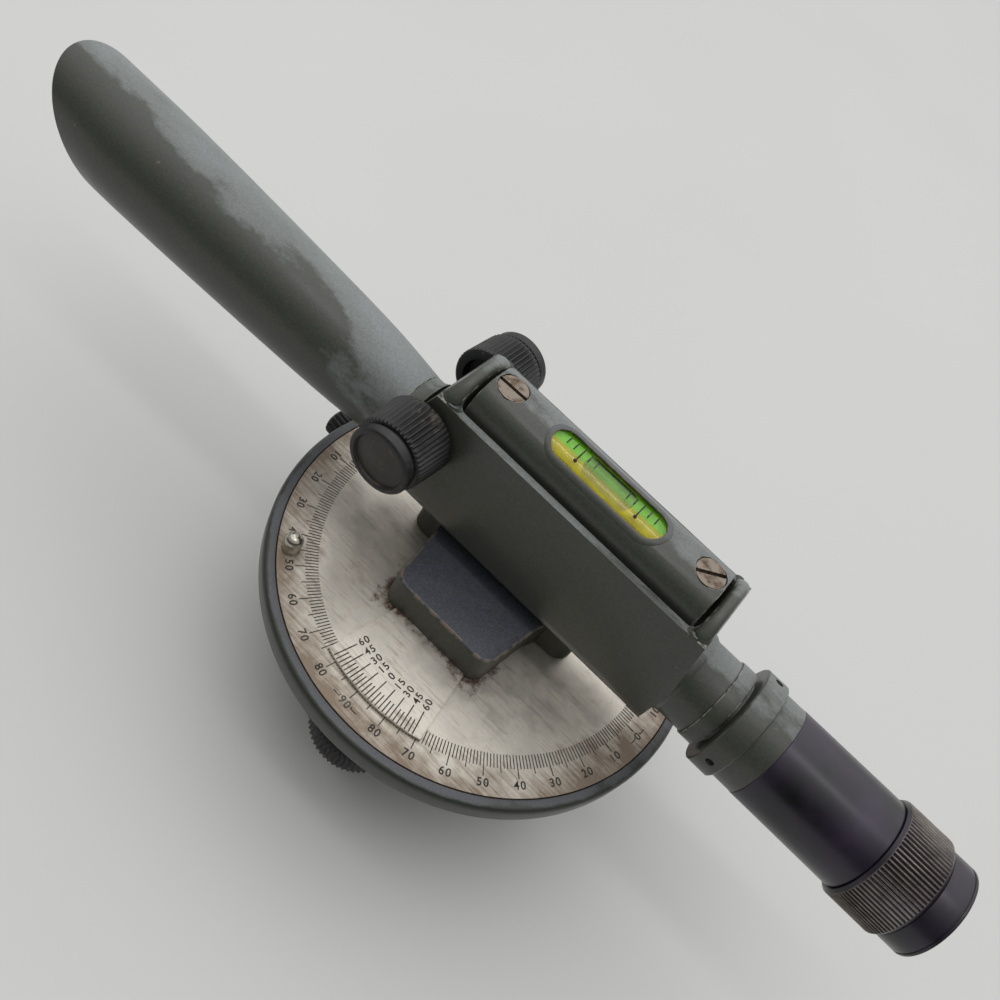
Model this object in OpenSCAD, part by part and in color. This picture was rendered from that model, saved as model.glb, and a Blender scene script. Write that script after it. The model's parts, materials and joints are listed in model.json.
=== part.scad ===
// Builder's level: a telescope on a graduated circle, with a four-screw levelling head.
// Millimetres, +Z up. X runs along the telescope, the eyepiece at +X, the vernier at -Y.
// The middle of the tripod hole in the foot's lower face is the origin.

/* [Foot and ball joint] */
// Radius of the foot's middle disc
foot_r = 34; // [30:0.5:35]
// Thickness of the foot plate
foot_t = 5; // [4:0.5:7]
// Radius of the lobe under each levelling screw
foot_lobe_r = 4.6; // [4.4:0.1:6]
// Radius of the foot's middle boss
boss_r = 15; // [13.5:0.5:17]
// Major diameter of the tripod thread, 5/8 inch
tripod_d = 15.875; // [12:0.005:18]
// Depth of the tripod thread
tripod_depth = 9; // [8:0.5:11]
// Web between the tripod thread and the ball cup
web_t = 1.4; // [1:0.1:3]
// Radius of the ball on the centre socket
ball_r = 9; // [8:0.25:9.5]
// Thickness of the liner round the ball
liner_t = 1; // [0.8:0.1:1.5]
// Wall of the screwed cap that holds the ball down
retainer_t = 2.5; // [2:0.1:4]
// Length of that cap below the ball's middle
retainer_skirt = 7; // [5:0.5:8]

/* [Levelling screws] */
// Distance of the four screws from the middle
screw_ring_r = 37; // [36:0.25:38]
// Radius of a screw
screw_r = 4; // [3:0.25:4.5]
// Pitch of the screw thread
screw_pitch = 1.5; // [1:0.25:2]
// Radius of a levelling knob
level_knob_r = 12; // [10:0.25:12.5]
// Height of a levelling knob
level_knob_h = 8; // [6:0.5:9]
// Ribs round a levelling knob
level_knob_ribs = 56; // [24:1:60]
// Height of the knob's lower face above the ground
knob_lift = 15; // [14:0.5:18]
// Radius of the shoe at the foot of a screw
shoe_r = 4.2; // [3.6:0.1:4.4]
// Height of a shoe
shoe_h = 5; // [4.5:0.25:6]
// Tilt of the head to each side, in degrees
tilt_max = 3; // [2:0.25:3.5]

/* [Levelling head] */
// Radius of the head's hub
hub_r = 14; // [13:0.5:18]
// Width of an arm
arm_w = 11; // [8:0.5:13]
// Thickness of an arm
arm_t = 7; // [5:0.5:9]
// Radius of the boss at an arm's end
arm_boss_r = 7; // [6.5:0.25:8]
// Height of that boss
arm_boss_h = 10.6; // [10:0.2:13]
// Free height between the arms and the pan, for the clamp screw
clamp_room = 6.2; // [6:0.1:9]
// Outer radius of the bronze centre socket
socket_r = 8.5; // [8:0.25:9.5]

/* [Circle] */
// Radius of the graduated plate
limb_r = 52.5; // [50:0.25:55]
// Thickness of the graduated plate
limb_t = 1.6; // [1.4:0.1:2.5]
// Width of the pan's rim beyond the plate
rim_w = 2.7; // [2.5:0.1:4]
// Height of the rim
rim_h = 6; // [5:0.25:6.5]
// Thickness of the pan's floor
pan_t = 2.1; // [1.8:0.1:3]
// Wall of the plate's pivot outside the pan screws
pivot_wall = 0.85; // [0.6:0.05:2]
// Distance of the finger pin from the rim's inner edge
pin_in = 3.3; // [2.8:0.1:4]
// Direction of the finger pin, in degrees
pin_angle = -138.4; // [-145:0.1:-130]
// Radius of the finger pin
pin_r = 2.25; // [1.5:0.05:2.4]
// Height of the finger pin above the plate
pin_h = 5.5; // [4:0.25:7]

/* [Clamp] */
// Direction of the clamp screw, in degrees
clamp_angle = 172; // [168:0.5:174]
// Radius of the clamp screw
clamp_r = 1.5; // [1.2:0.05:1.6]
// Radius of the clamp knob
clamp_knob_r = 4.2; // [3.5:0.1:5]
// Length of the clamp knob
clamp_knob_l = 4.5; // [3.5:0.25:8]
// Ribs round the clamp knob
clamp_knob_ribs = 20; // [12:1:24]
// Free way of the brake plug to the spindle
plug_way = 0.5; // [0.4:0.05:0.8]

/* [Pedestal and vernier] */
// Height of the telescope axis above the circle
axis_h = 25.1; // [24.5:0.1:28]
// Half length of the spine under the body
spine_x = 25; // [22:0.5:28]
// Width of the spine
spine_w = 8.6; // [7:0.2:10]
// Radius of the round hub
ped_hub_r = 17.5; // [16:0.25:19]
// Height of the block's top above the circle
block_h = 10; // [8:0.25:11]
// Reach of the block toward the vernier
block_y = 25; // [22:0.5:28]
// Width of the block at its near face
block_w = 29.5; // [26:0.5:32]
// Radius of the block's front corners
block_corner = 4; // [2:0.25:6]
// Radius of the spindle
spindle_r = 4.5; // [4:0.1:5]
// Radius of the spindle's flange
flange_r = 11; // [10:0.25:13]
// Outer radius of the vernier plate
vernier_r = 46; // [44:0.25:46.5]
// Half angle of the vernier plate, in degrees
vernier_a = 17.5; // [16:0.25:20]
// Thickness of the vernier plate
vernier_t = 0.8; // [0.6:0.1:1.2]

/* [Telescope body] */
// Front end of the body
body_x0 = -37.2; // [-40:0.1:-36.8]
// Rear end of the body
body_x1 = 44.5; // [42:0.1:50]
// Width of the body
body_w = 21.6; // [20.8:0.1:24]
// Depth of the body's underside below the axis
body_d = 13.1; // [12.6:0.1:13.5]
// Radius of the lower corners
body_corner = 6.4; // [5:0.1:6.5]
// Height of the side rims above the axis
side_h = 21.6; // [20.5:0.1:23]
// Height of the arched end walls above the axis
end_h = 27.3; // [26:0.1:28.5]
// Thickness of the end walls at the top
end_t = 3; // [2.4:0.1:4]
// Height above the axis where the end faces begin to lean
lean_z = 5.5; // [4:0.1:8]
// How far the front end face leans back
front_lean = 7.3; // [4:0.1:8]
// How far the rear end face leans forward
rear_lean = 3.4; // [2:0.1:5]
// Radius between the side rims and the end walls
rim_fillet = 2.2; // [1:0.1:3]
// Thickness of the side walls
side_t = 1.8; // [1.4:0.1:2]
// Height of the tray's floor above the axis
tray_h = 16.2; // [15.8:0.1:16.8]
// Radius of the bore for the focusing slide
slide_r = 7; // [6.5:0.1:7.2]

/* [Objective end] */
// Radius of the tube at its rear end
tube_r0 = 9.85; // [9.6:0.05:11]
// Radius of the tube where the long taper starts
tube_r1 = 11.45; // [11:0.05:12]
// Radius of the tube's front end
tube_r2 = 14.15; // [13.8:0.05:15]
// Length of the body's front neck
front_neck = 2.4; // [2:0.1:5]
// Length of the short taper
taper_l0 = 14.4; // [12:0.2:18]
// Length of the long taper
taper_l1 = 74; // [65:0.5:80]
// Length of the straight front to its lowest point
hood_l = 0.9; // [0.5:0.1:6]
// Slant of the sunshade's mouth along the axis
hood_slant = 25.4; // [10:0.2:30]
// Wall of the tube
tube_t = 1.3; // [1:0.05:1.6]
// Length of the objective seat
seat_l = 17; // [14:0.5:20]
// Thickness of the objective lens at its rim
lens_t = 4; // [3:0.25:5]

/* [Focusing] */
// Place of the focusing shaft along the axis
pinion_x = -30.8; // [-31:0.1:-28]
// Height of the shaft above the axis
pinion_h = 10.5; // [10.3:0.1:10.7]
// Teeth of the pinion
pinion_teeth = 8; // [8:1:8]
// Tooth module
tooth_m = 0.7; // [0.68:0.01:0.72]
// Way of the focusing slide to each side
focus_way = 8; // [5:0.5:8]
// Radius of the shaft
shaft_r = 2; // [1.6:0.1:2.2]
// Radius of a focusing knob at its inner end
focus_knob_r = 9; // [8:0.1:10]
// Radius at the outer end
focus_knob_tip_r = 7.8; // [7.4:0.1:8.5]
// Length of a focusing knob
focus_knob_l = 13.6; // [12:0.2:15]
// Ribs round a focusing knob
focus_knob_ribs = 48; // [36:1:60]
// Free space between a knob and the body
focus_knob_gap = 0.8; // [0.6:0.1:1.5]

/* [Eyepiece end] */
// Radius of the body's rear neck
neck_r = 10; // [9.8:0.1:10.8]
// Length of the rear neck
neck_l = 8; // [6:0.2:10]
// Length of the sleeve ring
sleeve_l = 3.8; // [3:0.1:5]
// Width of the groove behind the sleeve ring
groove_l = 1; // [0.6:0.1:1.5]
// Radius of the reticle collar
collar_r = 13; // [12.6:0.1:14]
// Length of the collar
collar_l = 5.7; // [5:0.1:7]
// Length of the step behind the collar
step_l = 5.7; // [5:0.1:7]
// Radius of the eyepiece tube
eye_r = 11.9; // [11.6:0.05:12.4]
// Length of the eyepiece tube
eye_l = 27.3; // [25:0.1:32]
// Height of the dioptre ring above the tube
ring_rise = 1.15; // [0.8:0.05:1.8]
// Length of the dioptre ring
ring_l = 12.6; // [11:0.1:14]
// Ribs round the dioptre ring
ring_ribs = 60; // [40:1:72]
// Length of the eye cap
cap_l = 6.4; // [5.5:0.1:9]
// Way of the ocular when it is turned out
ocular_way = 4; // [2:0.25:5]

/* [Level vial] */
// Middle of the vial's window along the axis
window_x = 6; // [4:0.1:7]
// Length of the window
window_l = 30; // [24:0.5:32]
// Width of the window
window_w = 7.4; // [6.5:0.1:8]
// Place of the window across the holder, to the near side
window_y = -1.2; // [-1.5:0.1:0]
// Half width of the vial holder
holder_r = 8; // [7.7:0.1:8.3]
// Rise of the holder's top over the end walls
holder_rise = 0.5; // [0:0.1:1]
// Radius of the holder's upper corners
holder_corner = 6.7; // [6:0.1:7.5]
// Clear space from the holder to each end wall
holder_gap = 1.2; // [0.8:0.1:3]
// Distance of each holder screw from the holder's end
holder_screw_in = 4.1; // [3.9:0.1:6]
// Radius of a holder screw's head
holder_head_r = 3.5; // [3:0.1:3.6]
// Angle of the slot in the front holder screw
holder_slot_front = 2; // [0:1:90]
// Angle of the slot in the rear holder screw
holder_slot_rear = 37; // [0:1:90]
// Depth of the vial's top under the holder's top
vial_drop = 0.3; // [0.2:0.05:1.2]
// Radius of the vial
vial_r = 5.6; // [5:0.1:5.7]
// Wall of the vial
vial_t = 1; // [0.8:0.05:1.3]
// Length of the bubble
bubble_l = 16; // [10:0.5:18]

/* [Hidden] */
$fn = 96;
fit = 0.05;
gap = 0.3;
over = 1;
cup_r = ball_r + liner_t + 2 * fit;
ball_z = tripod_depth + web_t + cup_r;
retainer_z = ball_z + 4;
travel = screw_ring_r * tan(tilt_max);
knob_top = knob_lift + level_knob_h;
boss_z = knob_top + travel + gap;
arm_z1 = boss_z + arm_boss_h;
arm_z0 = arm_z1 - arm_t;
hub_z0 = retainer_z + 3;
pan_z = arm_z1 + clamp_room;
pan_top = pan_z + pan_t;
limb_z = pan_top + gap + limb_t;
rim_in = limb_r + gap;
rim_r = rim_in + rim_w;
pin_ring_r = rim_in - pin_in;
pan_ring_r = (socket_r + hub_r) / 2;
pan_head_r = 1.8;
pivot_r = pan_ring_r + pan_head_r + pivot_wall;
clamp_z = limb_z - rim_h - gap - clamp_r;
axis_z = limb_z + axis_h;
shoe_z = foot_t + 0.15;
screw_z0 = shoe_z + shoe_h;
screw_top = clamp_z - clamp_r - gap - travel;
pin_seat = 1;
ped_z = limb_z + gap;
ped_top = axis_z - body_d;
flange_t = 2;
half_w = body_w / 2;
pitch_r = pinion_teeth * tooth_m / 2;
rack_h = pinion_h - pitch_r;
rack_hw = 1.75;
rack_root = rack_h - 0.85;
rack_tip = rack_h + 0.6;
rack_half = focus_way + 3;
cross_r = pitch_r + 1;
tube_x0 = body_x0 - front_neck;
tube_x1 = tube_x0 - taper_l0;
tube_x2 = tube_x1 - taper_l1;
mouth_low = tube_x2 - hood_l;
mouth_top = mouth_low - hood_slant;
spigot_r = tube_r0 - 0.85;
spigot_in = spigot_r - 0.8;
seat_r = tube_r2 - 1.75;
seat_x = tube_x2 + seat_l;
lens_front = 60;
slide_x0 = pinion_x - rack_half - 0.2;
slide_x1 = slide_x0 + 40;
slide_in = slide_r - 1.4;
neck_x = body_x1 + neck_l;
sleeve_x = neck_x + sleeve_l;
collar_x = sleeve_x + groove_l;
step_x = collar_x + collar_l;
eye_x = step_x + step_l;
ring_x = eye_x + eye_l;
cap_x = ring_x + ring_l + gap;
end_x = cap_x + cap_l;
inner_r = neck_r - 1.5;
reticle_r = inner_r - 1;
reticle_x = collar_x + collar_l / 2;
ring_r = eye_r + ring_rise;
ocular_r = eye_r - 2.4;
spout_r = eye_r - 1.4;
tray_x0 = body_x0 + front_lean + end_t;
tray_x1 = body_x1 - rear_lean - end_t;
end_rise = end_h - side_h;
arch_r = (half_w * half_w + end_rise * end_rise) / (2 * end_rise);
holder_h = end_h + holder_rise;
holder_z = axis_z + holder_h;
holder_x0 = tray_x0 + holder_gap;
holder_x1 = tray_x1 - holder_gap;
holder_screw_x = [holder_x0 + holder_screw_in, holder_x1 - holder_screw_in];
holder_slots = [holder_slot_front, holder_slot_rear];
vial_z = holder_z - vial_drop - vial_r;
vial_l = window_l + 6;
knob_in = half_w + focus_knob_gap;
knob_out = knob_in + focus_knob_l;

function arc(cx, cy, r, a0, a1, n = 8) =
    [for (i = [0:n]) [cx + r * cos(a0 + (a1 - a0) * i / n), cy + r * sin(a0 + (a1 - a0) * i / n)]];
function dome(rad, q) = rad - sqrt(rad * rad - q * q);
function ribbed(r, n, d) =
    [for (i = [0:4 * n - 1]) let (a = i * 90 / n, q = i % 4 < 2 ? r : r - d) [q * cos(a), q * sin(a)]];

// Turned piece on the telescope axis, from points along X and out from the axis
module xlathe(pts) {
    translate([0, 0, axis_z]) rotate([0, 90, 0])
        rotate_extrude() polygon([for (p = pts) [p[1], p[0]]]);
}
module xcyl(x0, x1, r) {
    translate([x0, 0, axis_z]) rotate([0, 90, 0]) cylinder(h = x1 - x0, r = r);
}
module xtube(x0, x1, ro, ri) {
    xlathe([[x0, ri], [x1, ri], [x1, ro], [x0, ro]]);
}
// Prism along X from a flat drawing of Y and height
module xprism(x0, x1) {
    translate([x0, 0, 0]) rotate([90, 0, 90]) linear_extrude(x1 - x0) children();
}
module ring_of(n, r, a0 = 0) {
    for (i = [0:n - 1]) rotate(a0 + i * 360 / n) translate([r, 0, 0]) children();
}
module at_screw(i) {
    rotate(90 * (i - 1)) translate([screw_ring_r, 0, 0]) children();
}
module radial(z, a, r0, r1, r) {
    rotate(a) translate([r0, 0, z]) rotate([0, 90, 0]) cylinder(h = r1 - r0, r = r);
}

module foot_plate() {
    color("#5a5d5a") difference() {
        union() {
            cylinder(h = foot_t, r = foot_r);
            for (i = [1:4]) at_screw(i) cylinder(h = foot_t, r = foot_lobe_r);
            cylinder(h = ball_z, r = boss_r);
        }
        translate([0, 0, ball_z]) sphere(r = cup_r);
        translate([0, 0, -over]) cylinder(h = tripod_depth + over, r = tripod_d / 2);
    }
}
module ball_retainer() {
    color("#a58a4e") difference() {
        translate([0, 0, ball_z - retainer_skirt])
            cylinder(h = retainer_z - ball_z + retainer_skirt, r = boss_r + retainer_t);
        translate([0, 0, ball_z - retainer_skirt - over])
            cylinder(h = retainer_skirt + over, r = boss_r);
        translate([0, 0, ball_z]) sphere(r = cup_r);
        for (a = [45:90:315]) rotate(a)
            translate([boss_r + retainer_t, 0, ball_z - 3])
                cylinder(h = retainer_z - ball_z + 4, r = 1.2);
    }
}
module ball_liner() {
    color("#e4e0d2") translate([0, 0, ball_z]) difference() {
        sphere(r = ball_r + liner_t + fit);
        sphere(r = ball_r + fit);
        translate([0, 0, 3.4]) cylinder(h = cup_r, r = 2 * ball_r);
        translate([0, 0, -cup_r - 6.5]) cylinder(h = cup_r, r = 2 * ball_r);
    }
}
module centre_socket() {
    color("#b08a4a") difference() {
        union() {
            translate([0, 0, ball_z]) sphere(r = ball_r);
            translate([0, 0, ball_z]) cylinder(h = hub_z0 - ball_z, r = ball_r - 2.4);
            translate([0, 0, hub_z0]) cylinder(h = pan_z - hub_z0, r = socket_r);
        }
        translate([0, 0, ball_z - 4]) cylinder(h = pan_z, r = spindle_r + fit);
        radial(clamp_z, clamp_angle, 0, socket_r + over, clamp_r + fit);
        radial(hub_z0 + 3, 45, 0, socket_r + over, 1.2);
    }
}
module levelling_head() {
    color("#4e514c") difference() {
        union() {
            translate([0, 0, hub_z0]) cylinder(h = pan_z - hub_z0, r = hub_r);
            for (i = [1:4]) {
                rotate(90 * (i - 1)) translate([0, -arm_w / 2, arm_z0]) cube([screw_ring_r, arm_w, arm_t]);
                at_screw(i) translate([0, 0, boss_z]) cylinder(h = arm_boss_h, r = arm_boss_r);
            }
        }
        translate([0, 0, hub_z0 - over]) cylinder(h = pan_z, r = socket_r);
        for (i = [1:4]) at_screw(i) cylinder(h = limb_z, r = screw_r + fit);
        radial(clamp_z, clamp_angle, 0, hub_r + over, clamp_r + fit);
        radial(hub_z0 + 3, 45, 0, hub_r + over, 1.2);
        ring_of(4, pan_ring_r, 45) translate([0, 0, pan_z - 5]) cylinder(h = 5 + over, r = 1);
    }
}
// Threaded rod with ring grooves at the thread's pitch, and a journal that turns in the shoe
module levelling_screw(i) {
    n = floor((screw_top - knob_top - 1) / screw_pitch);
    color("#9a9a98") at_screw(i) rotate_extrude() polygon(concat(
        [[0, screw_z0 - 3], [screw_r - 1.6, screw_z0 - 3], [screw_r - 1.6, screw_z0 + fit],
         [screw_r, screw_z0 + fit], [screw_r, screw_top - n * screw_pitch]],
        [for (k = [n - 1:-1:0]) each [[screw_r - 0.35, screw_top - (k + 0.5) * screw_pitch],
                                      [screw_r, screw_top - k * screw_pitch]]],
        [[0, screw_top]]));
}
module levelling_knob(i) {
    color("#2a2a2b") at_screw(i) translate([0, 0, knob_lift]) difference() {
        union() {
            translate([0, 0, 1]) linear_extrude(level_knob_h - 2)
                polygon(ribbed(level_knob_r, level_knob_ribs, 0.45));
            cylinder(h = level_knob_h, r = level_knob_r - 0.9);
        }
        translate([0, 0, -over]) cylinder(h = level_knob_h + 2 * over, r = screw_r);
    }
}
module levelling_shoe(i) {
    color("#b08a4a") at_screw(i) difference() {
        intersection() {
            translate([0, 0, shoe_z]) cylinder(h = shoe_h, r = shoe_r);
            translate([0, 0, shoe_z + 12]) sphere(r = 12);
        }
        translate([0, 0, screw_z0 - 3 - fit]) cylinder(h = shoe_h, r = screw_r - 1.6 + fit);
    }
}
module circle_pan() {
    color("#4b4c50") difference() {
        rotate_extrude() polygon(concat(
            [[spindle_r + 2, pan_z], [rim_r - 3, pan_z], [rim_r - 2.4, limb_z - rim_h]],
            arc(rim_r - 0.8, limb_z - rim_h + 0.8, 0.8, -90, 0, 4),
            arc(rim_r - 1.6, limb_z - 0.05 - 1.6, 1.6, 0, 90, 6),
            [[rim_in, limb_z - 0.05], [rim_in, pan_top], [pivot_r, pan_top],
             [pivot_r, limb_z - 0.2], [spindle_r + 2, limb_z - 0.2]]));
        ring_of(4, pan_ring_r, 45) {
            translate([0, 0, pan_z - over]) cylinder(h = limb_z, r = 1);
            translate([0, 0, pan_top]) cylinder(h = limb_z, r = pan_head_r + 0.1);
        }
    }
}
module pan_screws() {
    color("#8d8d8a") ring_of(4, pan_ring_r, 45) difference() {
        union() {
            translate([0, 0, pan_z - 4]) cylinder(h = 4 + pan_t, r = 1);
            translate([0, 0, pan_top]) cylinder(h = 1.2, r = pan_head_r);
        }
        translate([-2, -0.25, pan_top + 0.7]) cube([4, 0.5, 1]);
    }
}
module circle_plate() {
    color("#b9b3a8") difference() {
        translate([0, 0, limb_z - limb_t]) cylinder(h = limb_t, r = limb_r);
        translate([0, 0, limb_z - limb_t - over]) cylinder(h = limb_t + 2 * over, r = pivot_r + fit);
        rotate(pin_angle) translate([pin_ring_r, 0, limb_z - pin_seat]) cylinder(h = limb_t, r = pin_r - 0.6);
    }
}
module finger_pin() {
    color("#c8c8c6") rotate(pin_angle) translate([pin_ring_r, 0, limb_z]) rotate_extrude() polygon(concat(
        [[0, -pin_seat], [pin_r - 0.6, -pin_seat], [pin_r - 0.6, 0], [pin_r, 0], [pin_r - 0.25, 0.9]],
        [for (k = [0:5]) [pin_r * cos(15 * k), pin_h - pin_r + pin_r * sin(15 * k)]],
        [[0, pin_h]]));
}
module clamp_screw() {
    color("#9a9a98") difference() {
        radial(clamp_z, clamp_angle, socket_r, rim_r + 0.8 + clamp_knob_l - 1, clamp_r);
        rotate(clamp_angle) translate([0, 0, clamp_z]) rotate([0, 90, 0]) for (k = [0:7])
            translate([0, 0, hub_r + 2 + k]) rotate_extrude()
                polygon([[clamp_r - 0.2, 0.25], [clamp_r + 0.1, 0], [clamp_r + 0.1, 0.5]]);
    }
}
module clamp_knob() {
    color("#2a2a2b") rotate(clamp_angle) translate([rim_r + 0.8, 0, clamp_z]) rotate([0, 90, 0]) difference() {
        union() {
            translate([0, 0, 0.5]) linear_extrude(clamp_knob_l - 1)
                polygon(ribbed(clamp_knob_r, clamp_knob_ribs, 0.4));
            cylinder(h = clamp_knob_l, r = clamp_knob_r - 0.7);
        }
        translate([0, 0, -over]) cylinder(h = clamp_knob_l - 1 + over, r = clamp_r);
    }
}
module clamp_plug() {
    color("#c09a50") radial(clamp_z, clamp_angle, spindle_r + fit + plug_way, socket_r - fit, clamp_r);
}
module spindle() {
    color("#a9a9a6") difference() {
        union() {
            translate([0, 0, ball_z - 3]) cylinder(h = ped_z - ball_z + 3, r = spindle_r);
            translate([0, 0, ped_z]) cylinder(h = flange_t, r = flange_r);
        }
        translate([0, 0, hub_z0 + 1.5]) difference() {
            cylinder(h = 3, r = spindle_r + over);
            translate([0, 0, -over]) cylinder(h = 3 + 2 * over, r = spindle_r - 1);
        }
        ring_of(3, flange_r - 3, 90) translate([0, 0, ped_z - over]) {
            cylinder(h = flange_t + 2 * over, r = 1.2);
            cylinder(h = over + 1, r = 2.2);
        }
    }
}
module spindle_screws() {
    color("#8d8d8a") ring_of(3, flange_r - 3, 90) translate([0, 0, ped_z]) {
        cylinder(h = 1, r = 2.2);
        cylinder(h = flange_t + 4, r = 1.2);
    }
}
// Dog screw whose tip stands in the spindle's groove and keeps it from lifting out
module spindle_retainer() {
    color("#8d8d8a") difference() {
        radial(hub_z0 + 3, 45, spindle_r - 0.6, hub_r, 1.15);
        rotate(45) translate([hub_r - 0.8, -2, hub_z0 + 2.8]) cube([2, 4, 0.4]);
    }
}
module ped_block() {
    y0 = -block_y;
    b = block_w / 2;
    c = block_corner;
    polygon(concat(arc(-0.75 - b + c, y0 + c, c, 180, 270, 8), arc(-0.75 + b - c, y0 + c, c, 270, 360, 8),
        [[b + 1.25, -spine_w / 2], [b + 1.25, spine_w / 2], [-b - 2.75, spine_w / 2], [-b - 2.75, -spine_w / 2]]));
}
module pedestal() {
    h = block_h - gap;
    color("#3c3d42") difference() {
        union() {
            translate([0, 0, ped_z]) linear_extrude(h) ped_block();
            translate([0, 0, ped_z]) cylinder(h = h, r = ped_hub_r);
            translate([-spine_x + spine_w / 2, -spine_w / 2, ped_z])
                cube([2 * spine_x - spine_w, spine_w, ped_top - ped_z]);
            for (s = [-1, 1]) translate([s * (spine_x - spine_w / 2), 0, ped_z])
                cylinder(h = ped_top - ped_z, r = spine_w / 2);
        }
        translate([0, 0, ped_z - over]) cylinder(h = flange_t + over, r = flange_r);
        ring_of(3, flange_r - 3, 90) translate([0, 0, ped_z]) cylinder(h = flange_t + 4, r = 1.2);
        translate([0, 0, ped_z - over]) linear_extrude(vernier_t + over) vernier_shape();
        for (s = [-1, 1]) translate([s * (spine_x - spine_w), 0, ped_z - over]) {
            cylinder(h = ped_top, r = 1.5);
            cylinder(h = 3 + over, r = 2.8);
        }
    }
}
module vernier_shape() {
    polygon(concat(arc(0, 0, vernier_r, -90 - vernier_a, -90 + vernier_a, 24),
        [[9, -flange_r - 3], [-9, -flange_r - 3]]));
}
module vernier_plate() {
    color("#c2bdb2") translate([0, 0, ped_z]) linear_extrude(vernier_t) vernier_shape();
}
module body_screws() {
    color("#8d8d8a") for (s = [-1, 1]) translate([s * (spine_x - spine_w), 0, ped_z]) difference() {
        union() {
            translate([0, 0, 0.4]) cylinder(h = 2.6, r = 2.7);
            translate([0, 0, 2.9]) cylinder(h = ped_top - ped_z + 0.6, r = 1.5);
        }
        translate([0, 0, 0]) cylinder(h = 1.9, r = 1.3, $fn = 6);
    }
}
// Body across the axis: the end walls' arch runs down to the side rims
module body_section() {
    z0 = axis_z - body_d;
    a = acos(half_w / arch_r);
    polygon(concat(arc(-half_w + body_corner, z0 + body_corner, body_corner, 180, 270, 8),
        arc(half_w - body_corner, z0 + body_corner, body_corner, 270, 360, 8),
        arc(0, axis_z + end_h - arch_r, arch_r, a, 180 - a, 24)));
}
// Body along the axis: end faces that lean in toward the top
module body_side() {
    z0 = axis_z - body_d;
    z1 = axis_z + end_h;
    f = rim_fillet;
    polygon(concat(arc(body_x0 + 3, z0 + 3, 3, 180, 270, 6), arc(body_x1 - 3, z0 + 3, 3, 270, 360, 6),
        [[body_x1, axis_z + lean_z]], arc(body_x1 - rear_lean - 1.2, z1 - 1.2, 1.2, 9, 90, 5),
        arc(tray_x1 + 1, z1 - 1, 1, 90, 180, 4), arc(tray_x1 - f, axis_z + side_h + f, f, 0, -90, 5),
        arc(tray_x0 + f, axis_z + side_h + f, f, 270, 180, 5), arc(tray_x0 - 1, z1 - 1, 1, 0, 90, 4),
        arc(body_x0 + front_lean + 1.2, z1 - 1.2, 1.2, 90, 162, 5), [[body_x0, axis_z + lean_z]]));
}
module telescope_body() {
    color("#4a4d47") difference() {
        union() {
            intersection() {
                xprism(body_x0, body_x1) body_section();
                translate([0, half_w + over, 0]) rotate([90, 0, 0]) linear_extrude(body_w + 2 * over) body_side();
            }
            xlathe([[tube_x0, 0], [tube_x0, tube_r0], [body_x0 - 0.6, tube_r0], [body_x0 + 1, tube_r0 + 0.9],
                    [body_x0 + 1, 0]]);
            xlathe([[body_x1 - 2, 0], [body_x1 - 2, neck_r + 0.7], [body_x1 + 0.2, neck_r + 0.7],
                    [body_x1 + 1.4, neck_r], [neck_x, neck_r], [neck_x, 0]]);
        }
        translate([tray_x0, -half_w + side_t, axis_z + tray_h])
            cube([tray_x1 - tray_x0, body_w - 2 * side_t, end_h]);
        translate([window_x - vial_l / 2 - gap, 0, vial_z]) rotate([0, 90, 0])
            cylinder(h = vial_l + 2 * gap, r = vial_r + gap);
        xcyl(tube_x0 - over, neck_x + over, slide_r + fit);
        xcyl(tube_x0 - over, body_x0 - 0.3, spigot_r);
        xcyl(body_x1 + 2, neck_x + over, inner_r);
        translate([body_x0 - 0.5, -rack_hw - 0.2, axis_z])
            cube([pinion_x + rack_half + focus_way + gap - body_x0 + 0.5, 2 * rack_hw + 0.4, rack_tip + gap]);
        translate([pinion_x, half_w + over, axis_z + pinion_h]) rotate([90, 0, 0])
            cylinder(h = body_w + 2 * over, r = cross_r);
        for (x = holder_screw_x) translate([x, 0, axis_z + slide_r + 2]) cylinder(h = tray_h, r = 1.5);
        for (s = [-1, 1]) translate([s * (spine_x - spine_w), 0, ped_top - over]) cylinder(h = 4.5 + over, r = 1.5);
    }
}
module objective_tube() {
    lean = atan2(hood_slant, 2 * tube_r2);
    color("#565a55") difference() {
        xlathe([[body_x0 - 0.3, spigot_in], [body_x0 - 0.3, spigot_r], [tube_x0, spigot_r], [tube_x0, tube_r0],
            [tube_x1, tube_r1], [tube_x2, tube_r2], [mouth_top, tube_r2], [mouth_top, seat_r + 0.3],
            [tube_x2 - 2, seat_r + 0.3], [tube_x2 - 2, seat_r], [seat_x, seat_r], [seat_x, seat_r - 1.2],
            [tube_x1, tube_r1 - tube_t], [tube_x0 - 2, spigot_in]]);
        translate([(mouth_low + mouth_top) / 2, 0, axis_z]) rotate([0, -lean, 0])
            translate([-100, -50, -100]) cube([100, 100, 200]);
        translate([tube_x0 - 6, -rack_hw - 0.2, axis_z])
            cube([body_x0 - tube_x0 + 6, 2 * rack_hw + 0.4, rack_tip + gap]);
    }
}
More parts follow.
